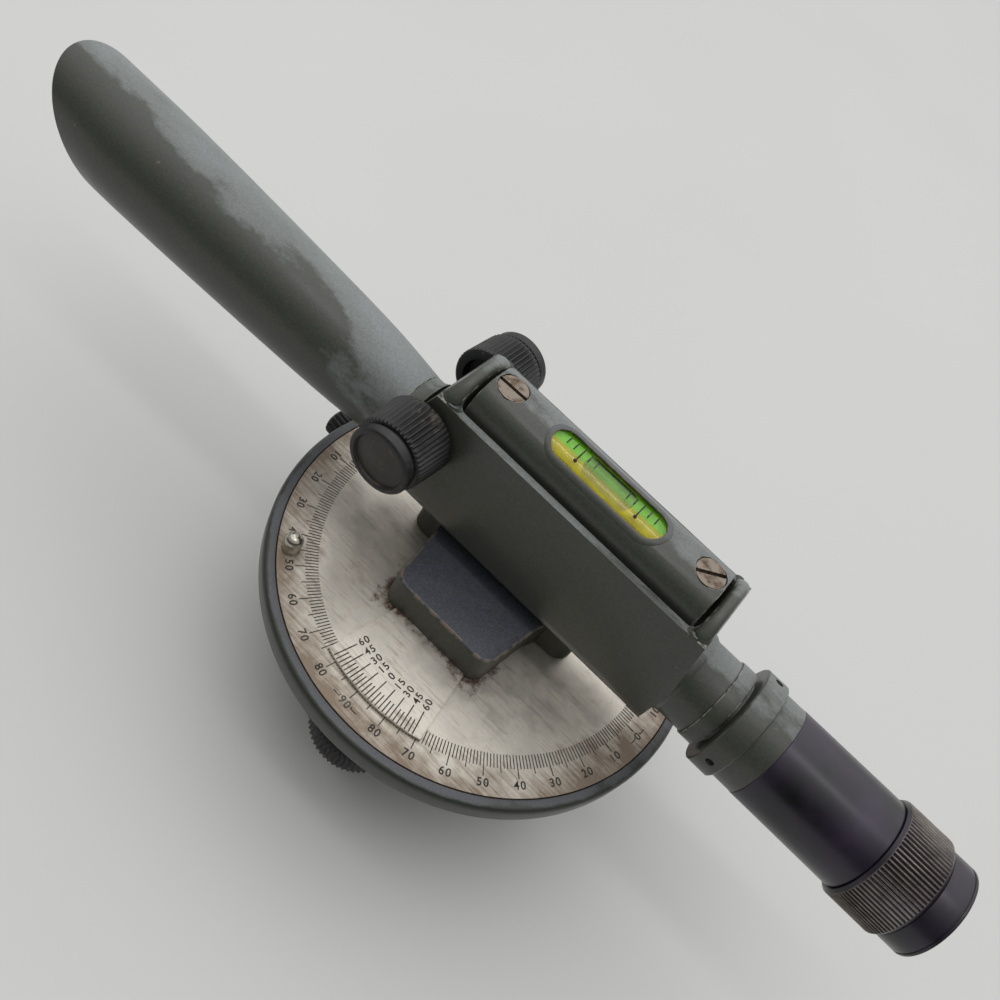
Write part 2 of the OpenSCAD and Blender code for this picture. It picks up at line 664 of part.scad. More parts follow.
// Lens on the axis: rim from x0 to x1, front and back faces as arcs of the given radii
module lens(x0, x1, r, front, back) {
    xlathe(concat([for (k = [0:8]) let (q = r * k / 8) [x0 - dome(front, r) + dome(front, q), q]],
        [for (k = [8:-1:0]) let (q = r * k / 8) [x1 + dome(back, r) - dome(back, q), q]]));
}
module objective_lens() {
    color("#cfe0e4") lens(seat_x - lens_t, seat_x - 0.9, seat_r, lens_front, 90);
}
module objective_ring() {
    bulge = dome(lens_front, seat_r) - dome(lens_front, seat_r - 1.3);
    color("#2c2c2e") xtube(seat_x - lens_t - 3.2, seat_x - lens_t - bulge - fit, seat_r, seat_r - 1.3);
}
module focus_slide() {
    color("#b59a5a") difference() {
        xtube(slide_x0, slide_x1, slide_r, slide_in);
        translate([slide_x0 - over, -rack_hw, axis_z + slide_in - 0.3])
            cube([2 * rack_half + 0.2 + over, 2 * rack_hw, slide_r]);
    }
}
// Rack with a tooth gap under the pinion's lowest tooth
module focus_rack() {
    p = PI * tooth_m;
    n = floor(rack_half / p);
    color("#c8b070") translate([pinion_x, rack_hw, axis_z]) rotate([90, 0, 0]) linear_extrude(2 * rack_hw)
        polygon(concat([[rack_half, slide_in - 0.25], [rack_half, rack_root]],
            [for (k = [n - 1:-1:-n]) let (c = (k + 0.5) * p) each
                [[c + 0.52, rack_root], [c + 0.18, rack_tip], [c - 0.18, rack_tip], [c - 0.52, rack_root]]],
            [[-rack_half, rack_root], [-rack_half, slide_in - 0.25]]));
}
module focus_lens() {
    color("#cfe0e4") difference() {
        xcyl(slide_x1 - 6, slide_x1 - 2, slide_in);
        translate([slide_x1 - 1.2 + 30 - 2, 0, axis_z]) sphere(r = 30);
    }
}
module pinion_shaft() {
    tip = pitch_r + 0.6;
    color("#a9a9a6") translate([pinion_x, 0, axis_z + pinion_h]) rotate([90, 0, 0]) {
        translate([0, 0, -knob_out + 1.6]) cylinder(h = 2 * knob_out - 3.2, r = shaft_r);
        translate([0, 0, -3]) linear_extrude(6) union() {
            circle(r = pitch_r - 0.9);
            for (i = [0:pinion_teeth - 1]) rotate(-90 + i * 360 / pinion_teeth)
                polygon([[1.5, -0.5], [pitch_r - 0.9, -0.5], [pitch_r, -0.36], [tip, -0.15],
                         [tip, 0.15], [pitch_r, 0.36], [pitch_r - 0.9, 0.5], [1.5, 0.5]]);
        }
    }
}
module pinion_bushes() {
    color("#b08a4a") for (s = [-1, 1])
        translate([pinion_x, s * (half_w + 3.3) / 2, axis_z + pinion_h]) rotate([90, 0, 0]) difference() {
            cylinder(h = half_w - 3.3, r = cross_r, center = true);
            cylinder(h = body_w, r = shaft_r + fit, center = true);
        }
}
// Tapered knob: ribs cut as straight bars, a groove, a flange and a sunk face
module focus_knob() {
    l = focus_knob_l;
    ro = focus_knob_r;
    rt = focus_knob_tip_r;
    color("#2a2a2b") difference() {
        rotate_extrude() polygon([[shaft_r, 0], [ro - 1.2, 0], [ro, 0.5], [rt + 0.5, l - 3.4], [rt - 0.5, l - 3.2],
            [rt - 0.5, l - 2.6], [rt, l - 2.3], [rt, l - 0.5], [rt - 0.5, l], [rt - 1.4, l], [rt - 1.6, l - 0.8],
            [0, l - 0.8], [0, l - 1.6], [shaft_r, l - 1.6]]);
        for (i = [0:focus_knob_ribs - 1]) rotate(i * 360 / focus_knob_ribs)
            translate([ro, 0, -over]) rotate([0, -atan2(ro - rt - 0.5, l - 3.9), 0])
                translate([-0.35, -0.28, 0]) cube([1.5, 0.56, l - 2.6 + over]);
        translate([0, 0, -over]) difference() {
            cylinder(h = 1.6 + over, r = ro - 2.4);
            cylinder(h = 2 + over, r = shaft_r + 2);
        }
    }
}
module focus_knob_near() {
    translate([pinion_x, -knob_in, axis_z + pinion_h]) rotate([90, 0, 0]) focus_knob();
}
module focus_knob_far() {
    translate([pinion_x, knob_in, axis_z + pinion_h]) rotate([-90, 0, 0]) focus_knob();
}
module sleeve_ring() {
    color("#4a4d47") xtube(neck_x, sleeve_x, neck_r + 0.4, inner_r);
}
module reticle_collar() {
    color("#565a55") difference() {
        xlathe([[body_x1 + 3, slide_r], [neck_x, slide_r], [collar_x - 0.5, reticle_r + fit],
            [eye_x, reticle_r + fit + 0.5], [eye_x, eye_r - 0.1], [step_x, eye_r - 0.1], [step_x, collar_r - 0.3],
            [step_x - 0.3, collar_r], [collar_x + 0.3, collar_r], [collar_x, collar_r - 0.3],
            [collar_x, inner_r], [body_x1 + 3, inner_r]]);
        xcyl(step_x, eye_x + over, spout_r - 1.4);
        for (a = [90:120:330]) translate([reticle_x, 0, axis_z]) rotate([a, 0, 0]) cylinder(h = 20, r = 1);
    }
}
module reticle_ring() {
    color("#b08a4a") xtube(reticle_x - 1.5, reticle_x + 1.5, reticle_r - 0.6, reticle_r - 2.6);
}
module reticle_glass() {
    color("#dfeaec") xcyl(reticle_x - 0.6, reticle_x + 0.6, reticle_r - 2.6);
}
module reticle_screws() {
    color("#a8844a") for (a = [90:120:330]) translate([reticle_x, 0, axis_z]) rotate([a, 0, 0]) difference() {
        translate([0, 0, reticle_r - 0.58]) cylinder(h = collar_r - reticle_r - 0.4, r = 0.95);
        translate([-2, -0.2, collar_r - 1.6]) cube([4, 0.4, 2]);
    }
}
module eyepiece_tube() {
    color("#2c2a33") xlathe([[step_x + 0.5, reticle_r], [eye_x + 3, reticle_r], [eye_x + 4, ocular_r + fit],
        [ring_x + ring_l - 1.5, ocular_r + fit], [ring_x + ring_l - 1.5, spout_r], [ring_x, spout_r],
        [ring_x, eye_r - 0.2], [ring_x - 0.2, eye_r], [eye_x + 0.2, eye_r], [eye_x, eye_r - 0.2],
        [eye_x, spout_r - 1.4], [step_x + 0.5, spout_r - 1.4]]);
}
module dioptre_ring() {
    color("#3a362f") difference() {
        translate([ring_x + fit, 0, axis_z]) rotate([0, 90, 0]) {
            translate([0, 0, 0.8]) linear_extrude(ring_l - fit - 1.6) polygon(ribbed(ring_r, ring_ribs, 0.35));
            cylinder(h = ring_l - fit, r = ring_r - 0.5);
        }
        xcyl(ring_x - over, ring_x + ring_l - 1.4, spout_r + fit);
        xcyl(ring_x, ring_x + ring_l + over, ocular_r + 0.2);
    }
}
module ocular_barrel() {
    color("#2c2a33") xtube(eye_x + 6, cap_x + 3, ocular_r, ocular_r - 1.3);
}
module eye_cap() {
    color("#2c2a33") xlathe([[cap_x, ocular_r], [cap_x + 3, ocular_r], [cap_x + 3, ocular_r - 1.3],
        [end_x - 2.6, ocular_r - 1.3], [end_x - 2.6, ocular_r - 3], [end_x - 0.6, ocular_r - 1.6], [end_x, ocular_r - 1],
        [end_x, eye_r - 0.5], [end_x - 0.5, eye_r + 0.05], [cap_x + 0.4, eye_r + 0.05], [cap_x, eye_r - 0.3]]);
}
module eye_lens() {
    color("#dfeaec") lens(end_x - 4.2, end_x - 2.8, ocular_r - 1.3, 22, 400);
}
module field_lens() {
    color("#dfeaec") lens(eye_x + 7, eye_x + 8.5, ocular_r - 1.3, 400, 24);
}
module holder_section() {
    c = holder_corner;
    polygon(concat([[-holder_r, axis_z + tray_h], [holder_r, axis_z + tray_h]],
        arc(holder_r - c, holder_z - c, c, 0, 90, 16), arc(c - holder_r, holder_z - c, c, 90, 180, 16)));
}
module stadium(x, l, w) {
    translate([x - l / 2 + w / 2, -w / 2]) square([l - w, w]);
    for (s = [-1, 1]) translate([x + s * (l - w) / 2, 0]) circle(r = w / 2);
}
module vial_holder() {
    color("#4a4d47") difference() {
        xprism(holder_x0, holder_x1) holder_section();
        translate([window_x - vial_l / 2, 0, vial_z]) rotate([0, 90, 0]) cylinder(h = vial_l, r = vial_r);
        translate([window_x - vial_l / 2, -vial_r, axis_z + tray_h - over])
            cube([vial_l, 2 * vial_r, vial_z - axis_z - tray_h + over]);
        translate([0, window_y, vial_z]) linear_extrude(20) stadium(window_x, window_l, window_w);
        for (x = holder_screw_x) {
            translate([x, 0, axis_z]) cylinder(h = 40, r = 1.7);
            translate([x, 0, holder_z - 2]) cylinder(h = 10, r = holder_head_r + 0.15);
        }
    }
}
module vial_tube() {
    color("#dcebc0") translate([window_x - vial_l / 2, 0, vial_z]) rotate([0, 90, 0]) difference() {
        cylinder(h = vial_l, r = vial_r);
        translate([0, 0, 1.5]) cylinder(h = vial_l - 3, r = vial_r - vial_t);
    }
}
module vial_spirit() {
    r = vial_r - vial_t;
    b = 0.72 * r;
    color("#a8d820") translate([window_x, 0, vial_z]) rotate([0, 90, 0]) difference() {
        cylinder(h = vial_l - 3, r = r, center = true);
        translate([-0.42 * r, 0, 0]) {
            cylinder(h = bubble_l - 2 * b, r = b, center = true);
            for (s = [-1, 1]) translate([0, 0, s * (bubble_l / 2 - b)]) sphere(r = b);
        }
    }
}
module vial_screws() {
    color("#8a7f74") for (k = [0, 1]) translate([holder_screw_x[k], 0, 0]) difference() {
        union() {
            translate([0, 0, axis_z + slide_r + 3]) cylinder(h = holder_h - slide_r - 4, r = 1.5);
            translate([0, 0, holder_z - 2]) cylinder(h = 1.7, r = holder_head_r);
        }
        rotate(holder_slots[k]) translate([-5, -0.45, holder_z - 1.3]) cube([10, 0.9, 2]);
    }
}

foot_plate();
ball_retainer();
ball_liner();
centre_socket();
levelling_head();
levelling_screw(1);  // levelling_screw_1
levelling_screw(2);  // levelling_screw_2
levelling_screw(3);  // levelling_screw_3
levelling_screw(4);  // levelling_screw_4
levelling_knob(1);  // levelling_knob_1
levelling_knob(2);  // levelling_knob_2
levelling_knob(3);  // levelling_knob_3
levelling_knob(4);  // levelling_knob_4
levelling_shoe(1);  // levelling_shoe_1
levelling_shoe(2);  // levelling_shoe_2
levelling_shoe(3);  // levelling_shoe_3
levelling_shoe(4);  // levelling_shoe_4
circle_pan();
pan_screws();
circle_plate();
finger_pin();
clamp_screw();
clamp_knob();
clamp_plug();
spindle();
spindle_screws();
spindle_retainer();
pedestal();
vernier_plate();
body_screws();
telescope_body();
objective_tube();
objective_lens();
objective_ring();
focus_slide();
focus_rack();
focus_lens();
pinion_shaft();
pinion_bushes();
focus_knob_near();
focus_knob_far();
sleeve_ring();
reticle_collar();
reticle_ring();
reticle_glass();
reticle_screws();
eyepiece_tube();
dioptre_ring();
ocular_barrel();
eye_cap();
field_lens();
eye_lens();
vial_holder();
vial_tube();
vial_spirit();
vial_screws();
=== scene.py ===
"""Builder's level dressed for its studio picture: castings, turned tubes, ribbed knobs, engraved scales."""

import json
import math

import bmesh
import bpy
from bpy.props import FloatProperty, PointerProperty, StringProperty
from mathutils import Matrix, Vector


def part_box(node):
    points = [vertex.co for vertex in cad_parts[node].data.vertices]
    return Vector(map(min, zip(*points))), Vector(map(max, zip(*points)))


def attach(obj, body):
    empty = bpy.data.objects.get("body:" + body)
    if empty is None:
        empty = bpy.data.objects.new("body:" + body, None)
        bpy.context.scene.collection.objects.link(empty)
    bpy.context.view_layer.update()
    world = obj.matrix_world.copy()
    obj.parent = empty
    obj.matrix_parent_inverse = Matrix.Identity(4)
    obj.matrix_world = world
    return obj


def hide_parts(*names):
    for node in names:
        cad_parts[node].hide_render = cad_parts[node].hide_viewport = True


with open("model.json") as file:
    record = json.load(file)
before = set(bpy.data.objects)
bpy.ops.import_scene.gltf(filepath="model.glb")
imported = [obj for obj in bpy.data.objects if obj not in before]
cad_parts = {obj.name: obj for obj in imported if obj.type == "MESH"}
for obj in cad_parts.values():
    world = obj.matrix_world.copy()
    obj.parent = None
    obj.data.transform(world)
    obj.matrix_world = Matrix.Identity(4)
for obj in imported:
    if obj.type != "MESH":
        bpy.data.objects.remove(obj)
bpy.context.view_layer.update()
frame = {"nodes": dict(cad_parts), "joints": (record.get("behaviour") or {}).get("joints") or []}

bl_info = {
    "name": "Builder's Level",
    "version": (1, 0, 0),
    "blender": (4, 5, 0),
    "location": "View3D > Sidebar > Level",
    "description": "Builds the visible pieces of a builder's level around its solid parts",
    "category": "Object",
}

MM = 0.001
TINY = 1e-4  # mm, a radius that counts as none
RAMP = "ValToRGB"

# Places that the solids give.
AXIS_Z = (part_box("eyepiece_tube")[0].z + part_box("eyepiece_tube")[1].z) / 2
CIRCLE_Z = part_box("circle_plate")[1].z
VERNIER_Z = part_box("vernier_plate")[1].z
GRIP_R = (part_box("dioptre_ring")[1].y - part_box("dioptre_ring")[0].y) / 2
BLOCK_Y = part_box("pedestal")[0].y
BLOCK = [v.co.copy() for v in frame["nodes"]["pedestal"].data.vertices if v.co.y < BLOCK_Y + 4 * MM]
ALONG_X = Matrix.Translation((0, 0, AXIS_Z)) @ Matrix.Rotation(math.pi / 2, 4, "Y")

# The body's side rims stand this far above the axis. Each end wall has an inner face, and an outer face that
# leans from the height of the rims to the crest (mm along the telescope).
RIM_UP = 21.75 * MM
END_WALLS = {"front_end_wall": (-26.9, -31.85, -29.9), "rear_end_wall": (38.1, 42.0, 41.1)}
WALL_HALF = 10.8 * MM

# Outer radii of the objective tube at places along the axis (mm), from the neck to where it runs straight.
TUBE = [(-39.6, 9.85), (-41, 10.02), (-43.5, 10.32), (-47, 10.72), (-50, 11.05), (-54, 11.42), (-60, 11.80),
        (-66, 12.10), (-75, 12.47), (-84, 12.83), (-95, 13.22), (-106, 13.6), (-116, 13.88), (-124, 14.08),
        (-130, 14.15)]
NECK_R = 9.0
SLANT_L = 25.4

# Radii of the engraving (mm), and how far it lies above the plate.
CIRCLE_IN, CIRCLE_TEN, CIRCLE_FIVE, CIRCLE_ONE = 43.0, 48.3, 47.2, 46.1
NUMBER_R, CRANK_R = 49.75, 49.2
VERNIER_OUT, VERNIER_LONG, VERNIER_SHORT, VERNIER_NUMBER = 45.9, 39.9, 42.6, 38.1
VERNIER_STEP = math.radians(1.25)
LIFT = 0.004 * MM

# Vial's window: half its width and length, the holder's rounded corner, and the border's section (out, up in mm).
WINDOW_HALF, WINDOW_REACH, HOLDER_CORNER = 3.7 * MM, 15.0 * MM, 6.7 * MM
BEAD = ((0.0, -0.6), (0.02, 0.02), (0.14, 0.13), (0.5, 0.17), (0.86, 0.12), (1.0, -0.02), (0.9, -0.4))

# Camera: its place (above the circle plate), its right, up and back, and its focal length in picture widths.
CAMERA_AT = Vector((17.21 * MM, -141.21 * MM, 191.24 * MM + CIRCLE_Z))
CAMERA_AXES = (0.7167, 0.5868, 0.3768), (-0.6859, 0.4960, 0.5325), (0.1256, -0.6401, 0.7580)
FOCAL = 977.7 / 1000.0

# Lights: place, width, depth (m) and power (W). A strip hangs along the telescope and a window stands behind.
LIGHTS = {"ceiling_strip": ((0.0, -0.12, 1.25), 1.3, 0.12, 1.6),
          "window_light": ((-0.30, 0.70, 1.25), 1.5, 1.0, 1.6)}
LIT_POINT = Vector((0, 0, 0.06))


class LevelSizes(bpy.types.PropertyGroup):
    """Sizes of the surface detail, in metres or degrees."""

    edge: FloatProperty(name="Broken edge", description="Width of the rounding on casting edges",
                        default=0.6 * MM, unit="LENGTH")
    tick: FloatProperty(name="Line width", description="Width of an engraved line",
                        default=0.23 * MM, unit="LENGTH")
    digit: FloatProperty(name="Digit height", description="Height of the circle's numbers",
                         default=1.85 * MM, unit="LENGTH")
    fill: FloatProperty(name="Fill height", description="How far the black filling stands proud",
                        default=0.03 * MM, unit="LENGTH")
    circle_turn: FloatProperty(name="Circle setting", description="Angle of the circle's zero from the eyepiece",
                               default=math.radians(-3.4), subtype="ANGLE")
    window_side: FloatProperty(name="Window place", description="Place of the vial's window across the holder",
                               default=-1.2 * MM, unit="LENGTH")
    bead: FloatProperty(name="Window bead", description="Width of the raised border round the vial's window",
                        default=1.4 * MM, unit="LENGTH")


class LevelColours(bpy.types.PropertyGroup):
    """Colours as sRGB hex values."""

    enamel: StringProperty(name="Enamel", description="Dark grey paint of the castings", default="#43453f")
    # Used for rubbed paint and for painted light on faces turned toward the far, upper side.
    enamel_rub: StringProperty(name="Rubbed enamel", description="Chalky, bleached paint", default="#828787")
    rim: StringProperty(name="Rim enamel", description="Dark paint of the circle's pan", default="#32342e")
    # Used for rubbed paint and for a painted reflection of the bright overhead on the tops of the rim and the window's
    # border.
    rim_top: StringProperty(name="Rim enamel, bleached", description="Blue-grey of the rim's top", default="#5d5f65")
    wrinkle: StringProperty(name="Wrinkle paint", description="Slate paint on the pedestal's top", default="#484a52")
    # The sides' colour is painted shade: the same paint as the top, drawn darker where the faces turn away from the
    # light.
    wrinkle_side: StringProperty(name="Wrinkle paint, sides", description="Green-black of the pedestal's sides",
                                 default="#373930")
    bare: StringProperty(name="Bare casting", description="Light metal where the paint is gone", default="#a09a8d")
    worn_brown: StringProperty(name="Brown wear", description="Brown where chips have rusted", default="#7d7265")
    phenolic: StringProperty(name="Knobs", description="Black moulded knobs", default="#141415")
    anodised: StringProperty(name="Eyepiece", description="Black anodising", default="#1b1a1e")
    faded: StringProperty(name="Faded eyepiece", description="Purple of faded anodising", default="#352b3e")
    silver: StringProperty(name="Circle", description="Silvered plate", default="#e2dbcf")
    stain: StringProperty(name="Stain", description="Brown stain on the plate", default="#6e5a47")
    # This brown is for rusty specks on the plate and for the painted shadow round the pedestal's foot.
    rust: StringProperty(name="Rust", description="Rust round the pedestal's foot", default="#5a3a24")
    filling: StringProperty(name="Engraving", description="Black filling of the scales", default="#2c2925")
    green: StringProperty(name="Spirit, far side", description="Green of the vial", default="#6cb800")
    yellow: StringProperty(name="Spirit, near side", description="Yellow of the vial", default="#b4a600")
    floor: StringProperty(name="Floor", description="Pale floor", default="#cdcdcb")


def hex_linear(text, by=1.0):
    """Linear RGBA from an sRGB hex value, made darker or lighter by a factor."""
    parts = [int(text[i:i + 2], 16) / 255 for i in (1, 3, 5)]
    return [by * (c / 12.92 if c <= 0.04045 else ((c + 0.055) / 1.055) ** 2.4) for c in parts] + [1.0]


def grey(v):
    """Neutral RGBA."""
    return (v, v, v, 1.0)


def plug(node, sockets):
    """Fills a node's sockets: a value that is itself a socket is linked, any other is set."""
    for key, value in sockets.items():
        if isinstance(value, bpy.types.NodeSocket):
            node.id_data.links.new(value, node.inputs[key])
        else:
            node.inputs[key].default_value = value


def add(tree, kind, sockets=None, stops=(), out=None, **settings):
    """New shader node with its settings; stops fill a ramp. Returns its first output in use, or the one named."""
    node = tree.nodes.new("ShaderNode" + kind)
    for _ in stops[2:]:
        node.color_ramp.elements.new(0.5)
    for i, (place, colour) in enumerate(stops):
        node.color_ramp.elements[i].position = place
        node.color_ramp.elements[i].color = colour
    for key, value in settings.items():
        setattr(node, key, value)
    plug(node, sockets or {})
    return next(o for o in node.outputs if o.enabled) if out is None else node.outputs[out]


def blank(name):
    """Material with its shader, and where each point lies on the object in metres."""
    material = bpy.data.materials.new(name)
    material.use_nodes = True
    tree = material.node_tree
    return material, tree, tree.nodes["Principled BSDF"], add(tree, "TexCoord", out="Object")


def baked_enamel(name, paint, rubbed, bare, worn, painted_light_amount=0.34, neck=None):
    """Sprayed enamel: satin, chipped, chalky in patches and between a neck's two X places, with painted light: lighter
    on faces turned to the far, upper side and darker on faces turned away.
    """
    material, tree, shader, where = blank(name)
    # Bleached patches are about 14 mm across, drawn out along the tube; chips are 3 mm, the orange peel 0.5 mm.
    along = add(tree, "VectorMath", {0: where, 1: (0.45, 1.0, 1.0)}, operation="MULTIPLY")
    patch = add(tree, "TexNoise", {"Vector": along, "Scale": 1 / 0.014, "Detail": 7.0, "Roughness": 0.66})
    chip = add(tree, "TexNoise", {"Vector": where, "Scale": 1 / 0.0030, "Detail": 6.0, "Roughness": 0.72})
    peel = add(tree, "TexNoise", {"Vector": where, "Scale": 1 / 0.0005, "Detail": 2.0})
    # Painted light: faces turned toward the far, upper side are drawn toward the rubbed colour as if the window lit
    # them, and faces turned away are drawn darker, as painted shade.
    facing = add(tree, "TexCoord", out="Normal")
    facing_light_mask = add(tree, "VectorMath", {0: facing, 1: (0.0, 0.90, 0.43)}, operation="DOT_PRODUCT")
    facing_light_mask = add(tree, "MapRange", {"Value": facing_light_mask, "From Min": -0.3, "From Max": 1.0, "To Min": -0.14, "To Max": painted_light_amount})
    chalk_and_painted_light = add(tree, "Math", {0: patch, 1: facing_light_mask}, operation="ADD")
    if neck:
        length = add(tree, "SeparateXYZ", {0: where})
        hand = add(tree, "MapRange", {"Value": length, "From Min": neck[0], "From Max": neck[1], "To Max": 0.30})
        chalk_and_painted_light = add(tree, "Math", {0: chalk_and_painted_light, 1: hand}, operation="ADD")
    rub_and_painted_light = add(tree, RAMP, {"Fac": chalk_and_painted_light}, ((0.58, grey(0.0)), (0.67, grey(0.58)), (0.92, grey(0.9))))
    coat_with_painted_light = add(tree, "Mix", {0: rub_and_painted_light, 6: hex_linear(paint), 7: hex_linear(rubbed)}, data_type="RGBA")
    tone = add(tree, RAMP, {"Fac": peel}, ((0.3, grey(0.80)), (0.7, grey(1.10))))
    coat_with_painted_light = add(tree, "Mix", {0: 1.0, 6: coat_with_painted_light, 7: tone}, data_type="RGBA", blend_type="MULTIPLY")
    low = 0.70 - 0.30 * worn
    gone = add(tree, RAMP, {"Fac": chip}, ((low, grey(0.0)), (low + 0.07, grey(0.9))))
    relief = add(tree, "Math", {0: gone, 1: -0.8}, operation="MULTIPLY")
    relief = add(tree, "Math", {0: relief, 1: peel}, operation="ADD")
    plug(shader, {
        "Base Color": add(tree, "Mix", {0: gone, 6: coat_with_painted_light, 7: hex_linear(bare)}, data_type="RGBA"),
        "Roughness": add(tree, RAMP, {"Fac": chalk_and_painted_light}, ((0.45, grey(0.33)), (0.85, grey(0.55)))),
        "Normal": add(tree, "Bump", {"Height": relief, "Strength": 0.25, "Distance": 0.0001}),
    })
    return material


def wrinkle_enamel(name, paint, side, bare, worn):
    """Fine wrinkle paint, specked paler and worn along edges: slate on top, with painted shade that turns the sides
    green-black.
    """
    material, tree, shader, where = blank(name)
    # Wrinkles are about 0.45 mm apart; worn patches 2 mm.
    skin = add(tree, "TexNoise", {"Vector": where, "Scale": 1 / 0.00045, "Detail": 3.0, "Distortion": 0.6})
    chip = add(tree, "TexNoise", {"Vector": where, "Scale": 1 / 0.002, "Detail": 4.0})
    # Painted shade: the colour runs from the slate of the top to a darker green-black as the faces turn to the side.
    up = add(tree, "SeparateXYZ", {0: add(tree, "TexCoord", out="Normal")}, out=2)
    coat_with_painted_light = add(tree, RAMP, {"Fac": up}, ((0.15, hex_linear(side)), (0.75, hex_linear(paint))))
    speck = add(tree, RAMP, {"Fac": skin}, ((0.35, grey(0.72)), (0.68, grey(1.25))))
    tone = add(tree, "Mix", {0: 1.0, 6: coat_with_painted_light, 7: speck}, data_type="RGBA", blend_type="MULTIPLY")
    low = 0.76 - 0.34 * worn
    gone = add(tree, RAMP, {"Fac": chip}, ((low, grey(0.0)), (low + 0.10, grey(0.85))))
    plug(shader, {
        "Base Color": add(tree, "Mix", {0: gone, 6: tone, 7: hex_linear(bare)}, data_type="RGBA"),
        "Roughness": 0.46,
        "Normal": add(tree, "Bump", {"Height": skin, "Strength": 0.35, "Distance": 0.0001}),
    })
    return material


def moulded_phenolic(name, black, dirt):
    """Moulded phenolic knob: black, half matt, with pale dust dried into it and brown dirt in patches."""
    material, tree, shader, where = blank(name)
    # Dust lies in patches of about 4 mm, broken by finer grit.
    dust = add(tree, "TexNoise", {"Vector": where, "Scale": 1 / 0.004, "Detail": 8.0, "Roughness": 0.75})
    plug(shader, {
        "Base Color": add(tree, RAMP, {"Fac": dust}, ((0.44, hex_linear(black)), (0.58, hex_linear(black, 1.8)),
                                                      (0.71, hex_linear(dirt)))),
        "Roughness": add(tree, RAMP, {"Fac": dust}, ((0.4, grey(0.40)), (0.75, grey(0.72)))),
        "Normal": add(tree, "Bump", {"Height": dust, "Strength": 0.12, "Distance": 0.0001}),
    })
    return material


def black_anodising(name, dark, faded, worn=None):
    """Turned aluminium, anodised black: lathe lines round the barrel, a purple cast where it has faded."""
    material, tree, shader, where = blank(name)
    fade = add(tree, "TexNoise", {"Vector": where, "Scale": 1 / 0.012, "Detail": 5.0})
    # Lathe lines run round the X axis 0.3 mm apart, drawn coarser than real ones so that they show.
    lines = add(tree, "TexWave", {"Vector": where, "Scale": 0.314 / 0.0003, "Distortion": 0.6, "Detail": 2.0},
                bands_direction="X", out="Fac")
    colour = add(tree, RAMP, {"Fac": fade}, ((0.4, hex_linear(dark)), (0.72, hex_linear(faded))))
    if worn:
        # The finish is rubbed off the crests and stays black in the grooves, which lie 0.25 mm deeper.
        apart = add(tree, "SeparateXYZ", {0: where}).node.outputs
        up = add(tree, "Math", {0: apart[2], 1: AXIS_Z}, operation="SUBTRACT")
        across = add(tree, "CombineXYZ", {0: apart[1], 1: up})
        out = add(tree, "VectorMath", {0: across}, operation="LENGTH")
        crest = add(tree, "MapRange", {"Value": out, "From Min": GRIP_R - 0.28 * MM, "From Max": GRIP_R - 0.06 * MM})
        scuff = add(tree, "TexNoise", {"Vector": where, "Scale": 1 / 0.003, "Detail": 6.0, "Roughness": 0.7})
        scuff = add(tree, RAMP, {"Fac": scuff}, ((0.30, grey(0.25)), (0.60, grey(1.0))))
        gone = add(tree, "Math", {0: crest, 1: scuff}, operation="MULTIPLY")
        colour = add(tree, "Mix", {0: gone, 6: colour, 7: hex_linear(worn)}, data_type="RGBA")
    plug(shader, {
        "Base Color": colour,
        "Metallic": 0.25,
        "Roughness": add(tree, RAMP, {"Fac": fade}, ((0.3, grey(0.24)), (0.75, grey(0.36)))),
        "Specular IOR Level": 0.6,
        "Normal": add(tree, "Bump", {"Height": lines, "Strength": 0.06, "Distance": 0.0001}),
    })
    return material


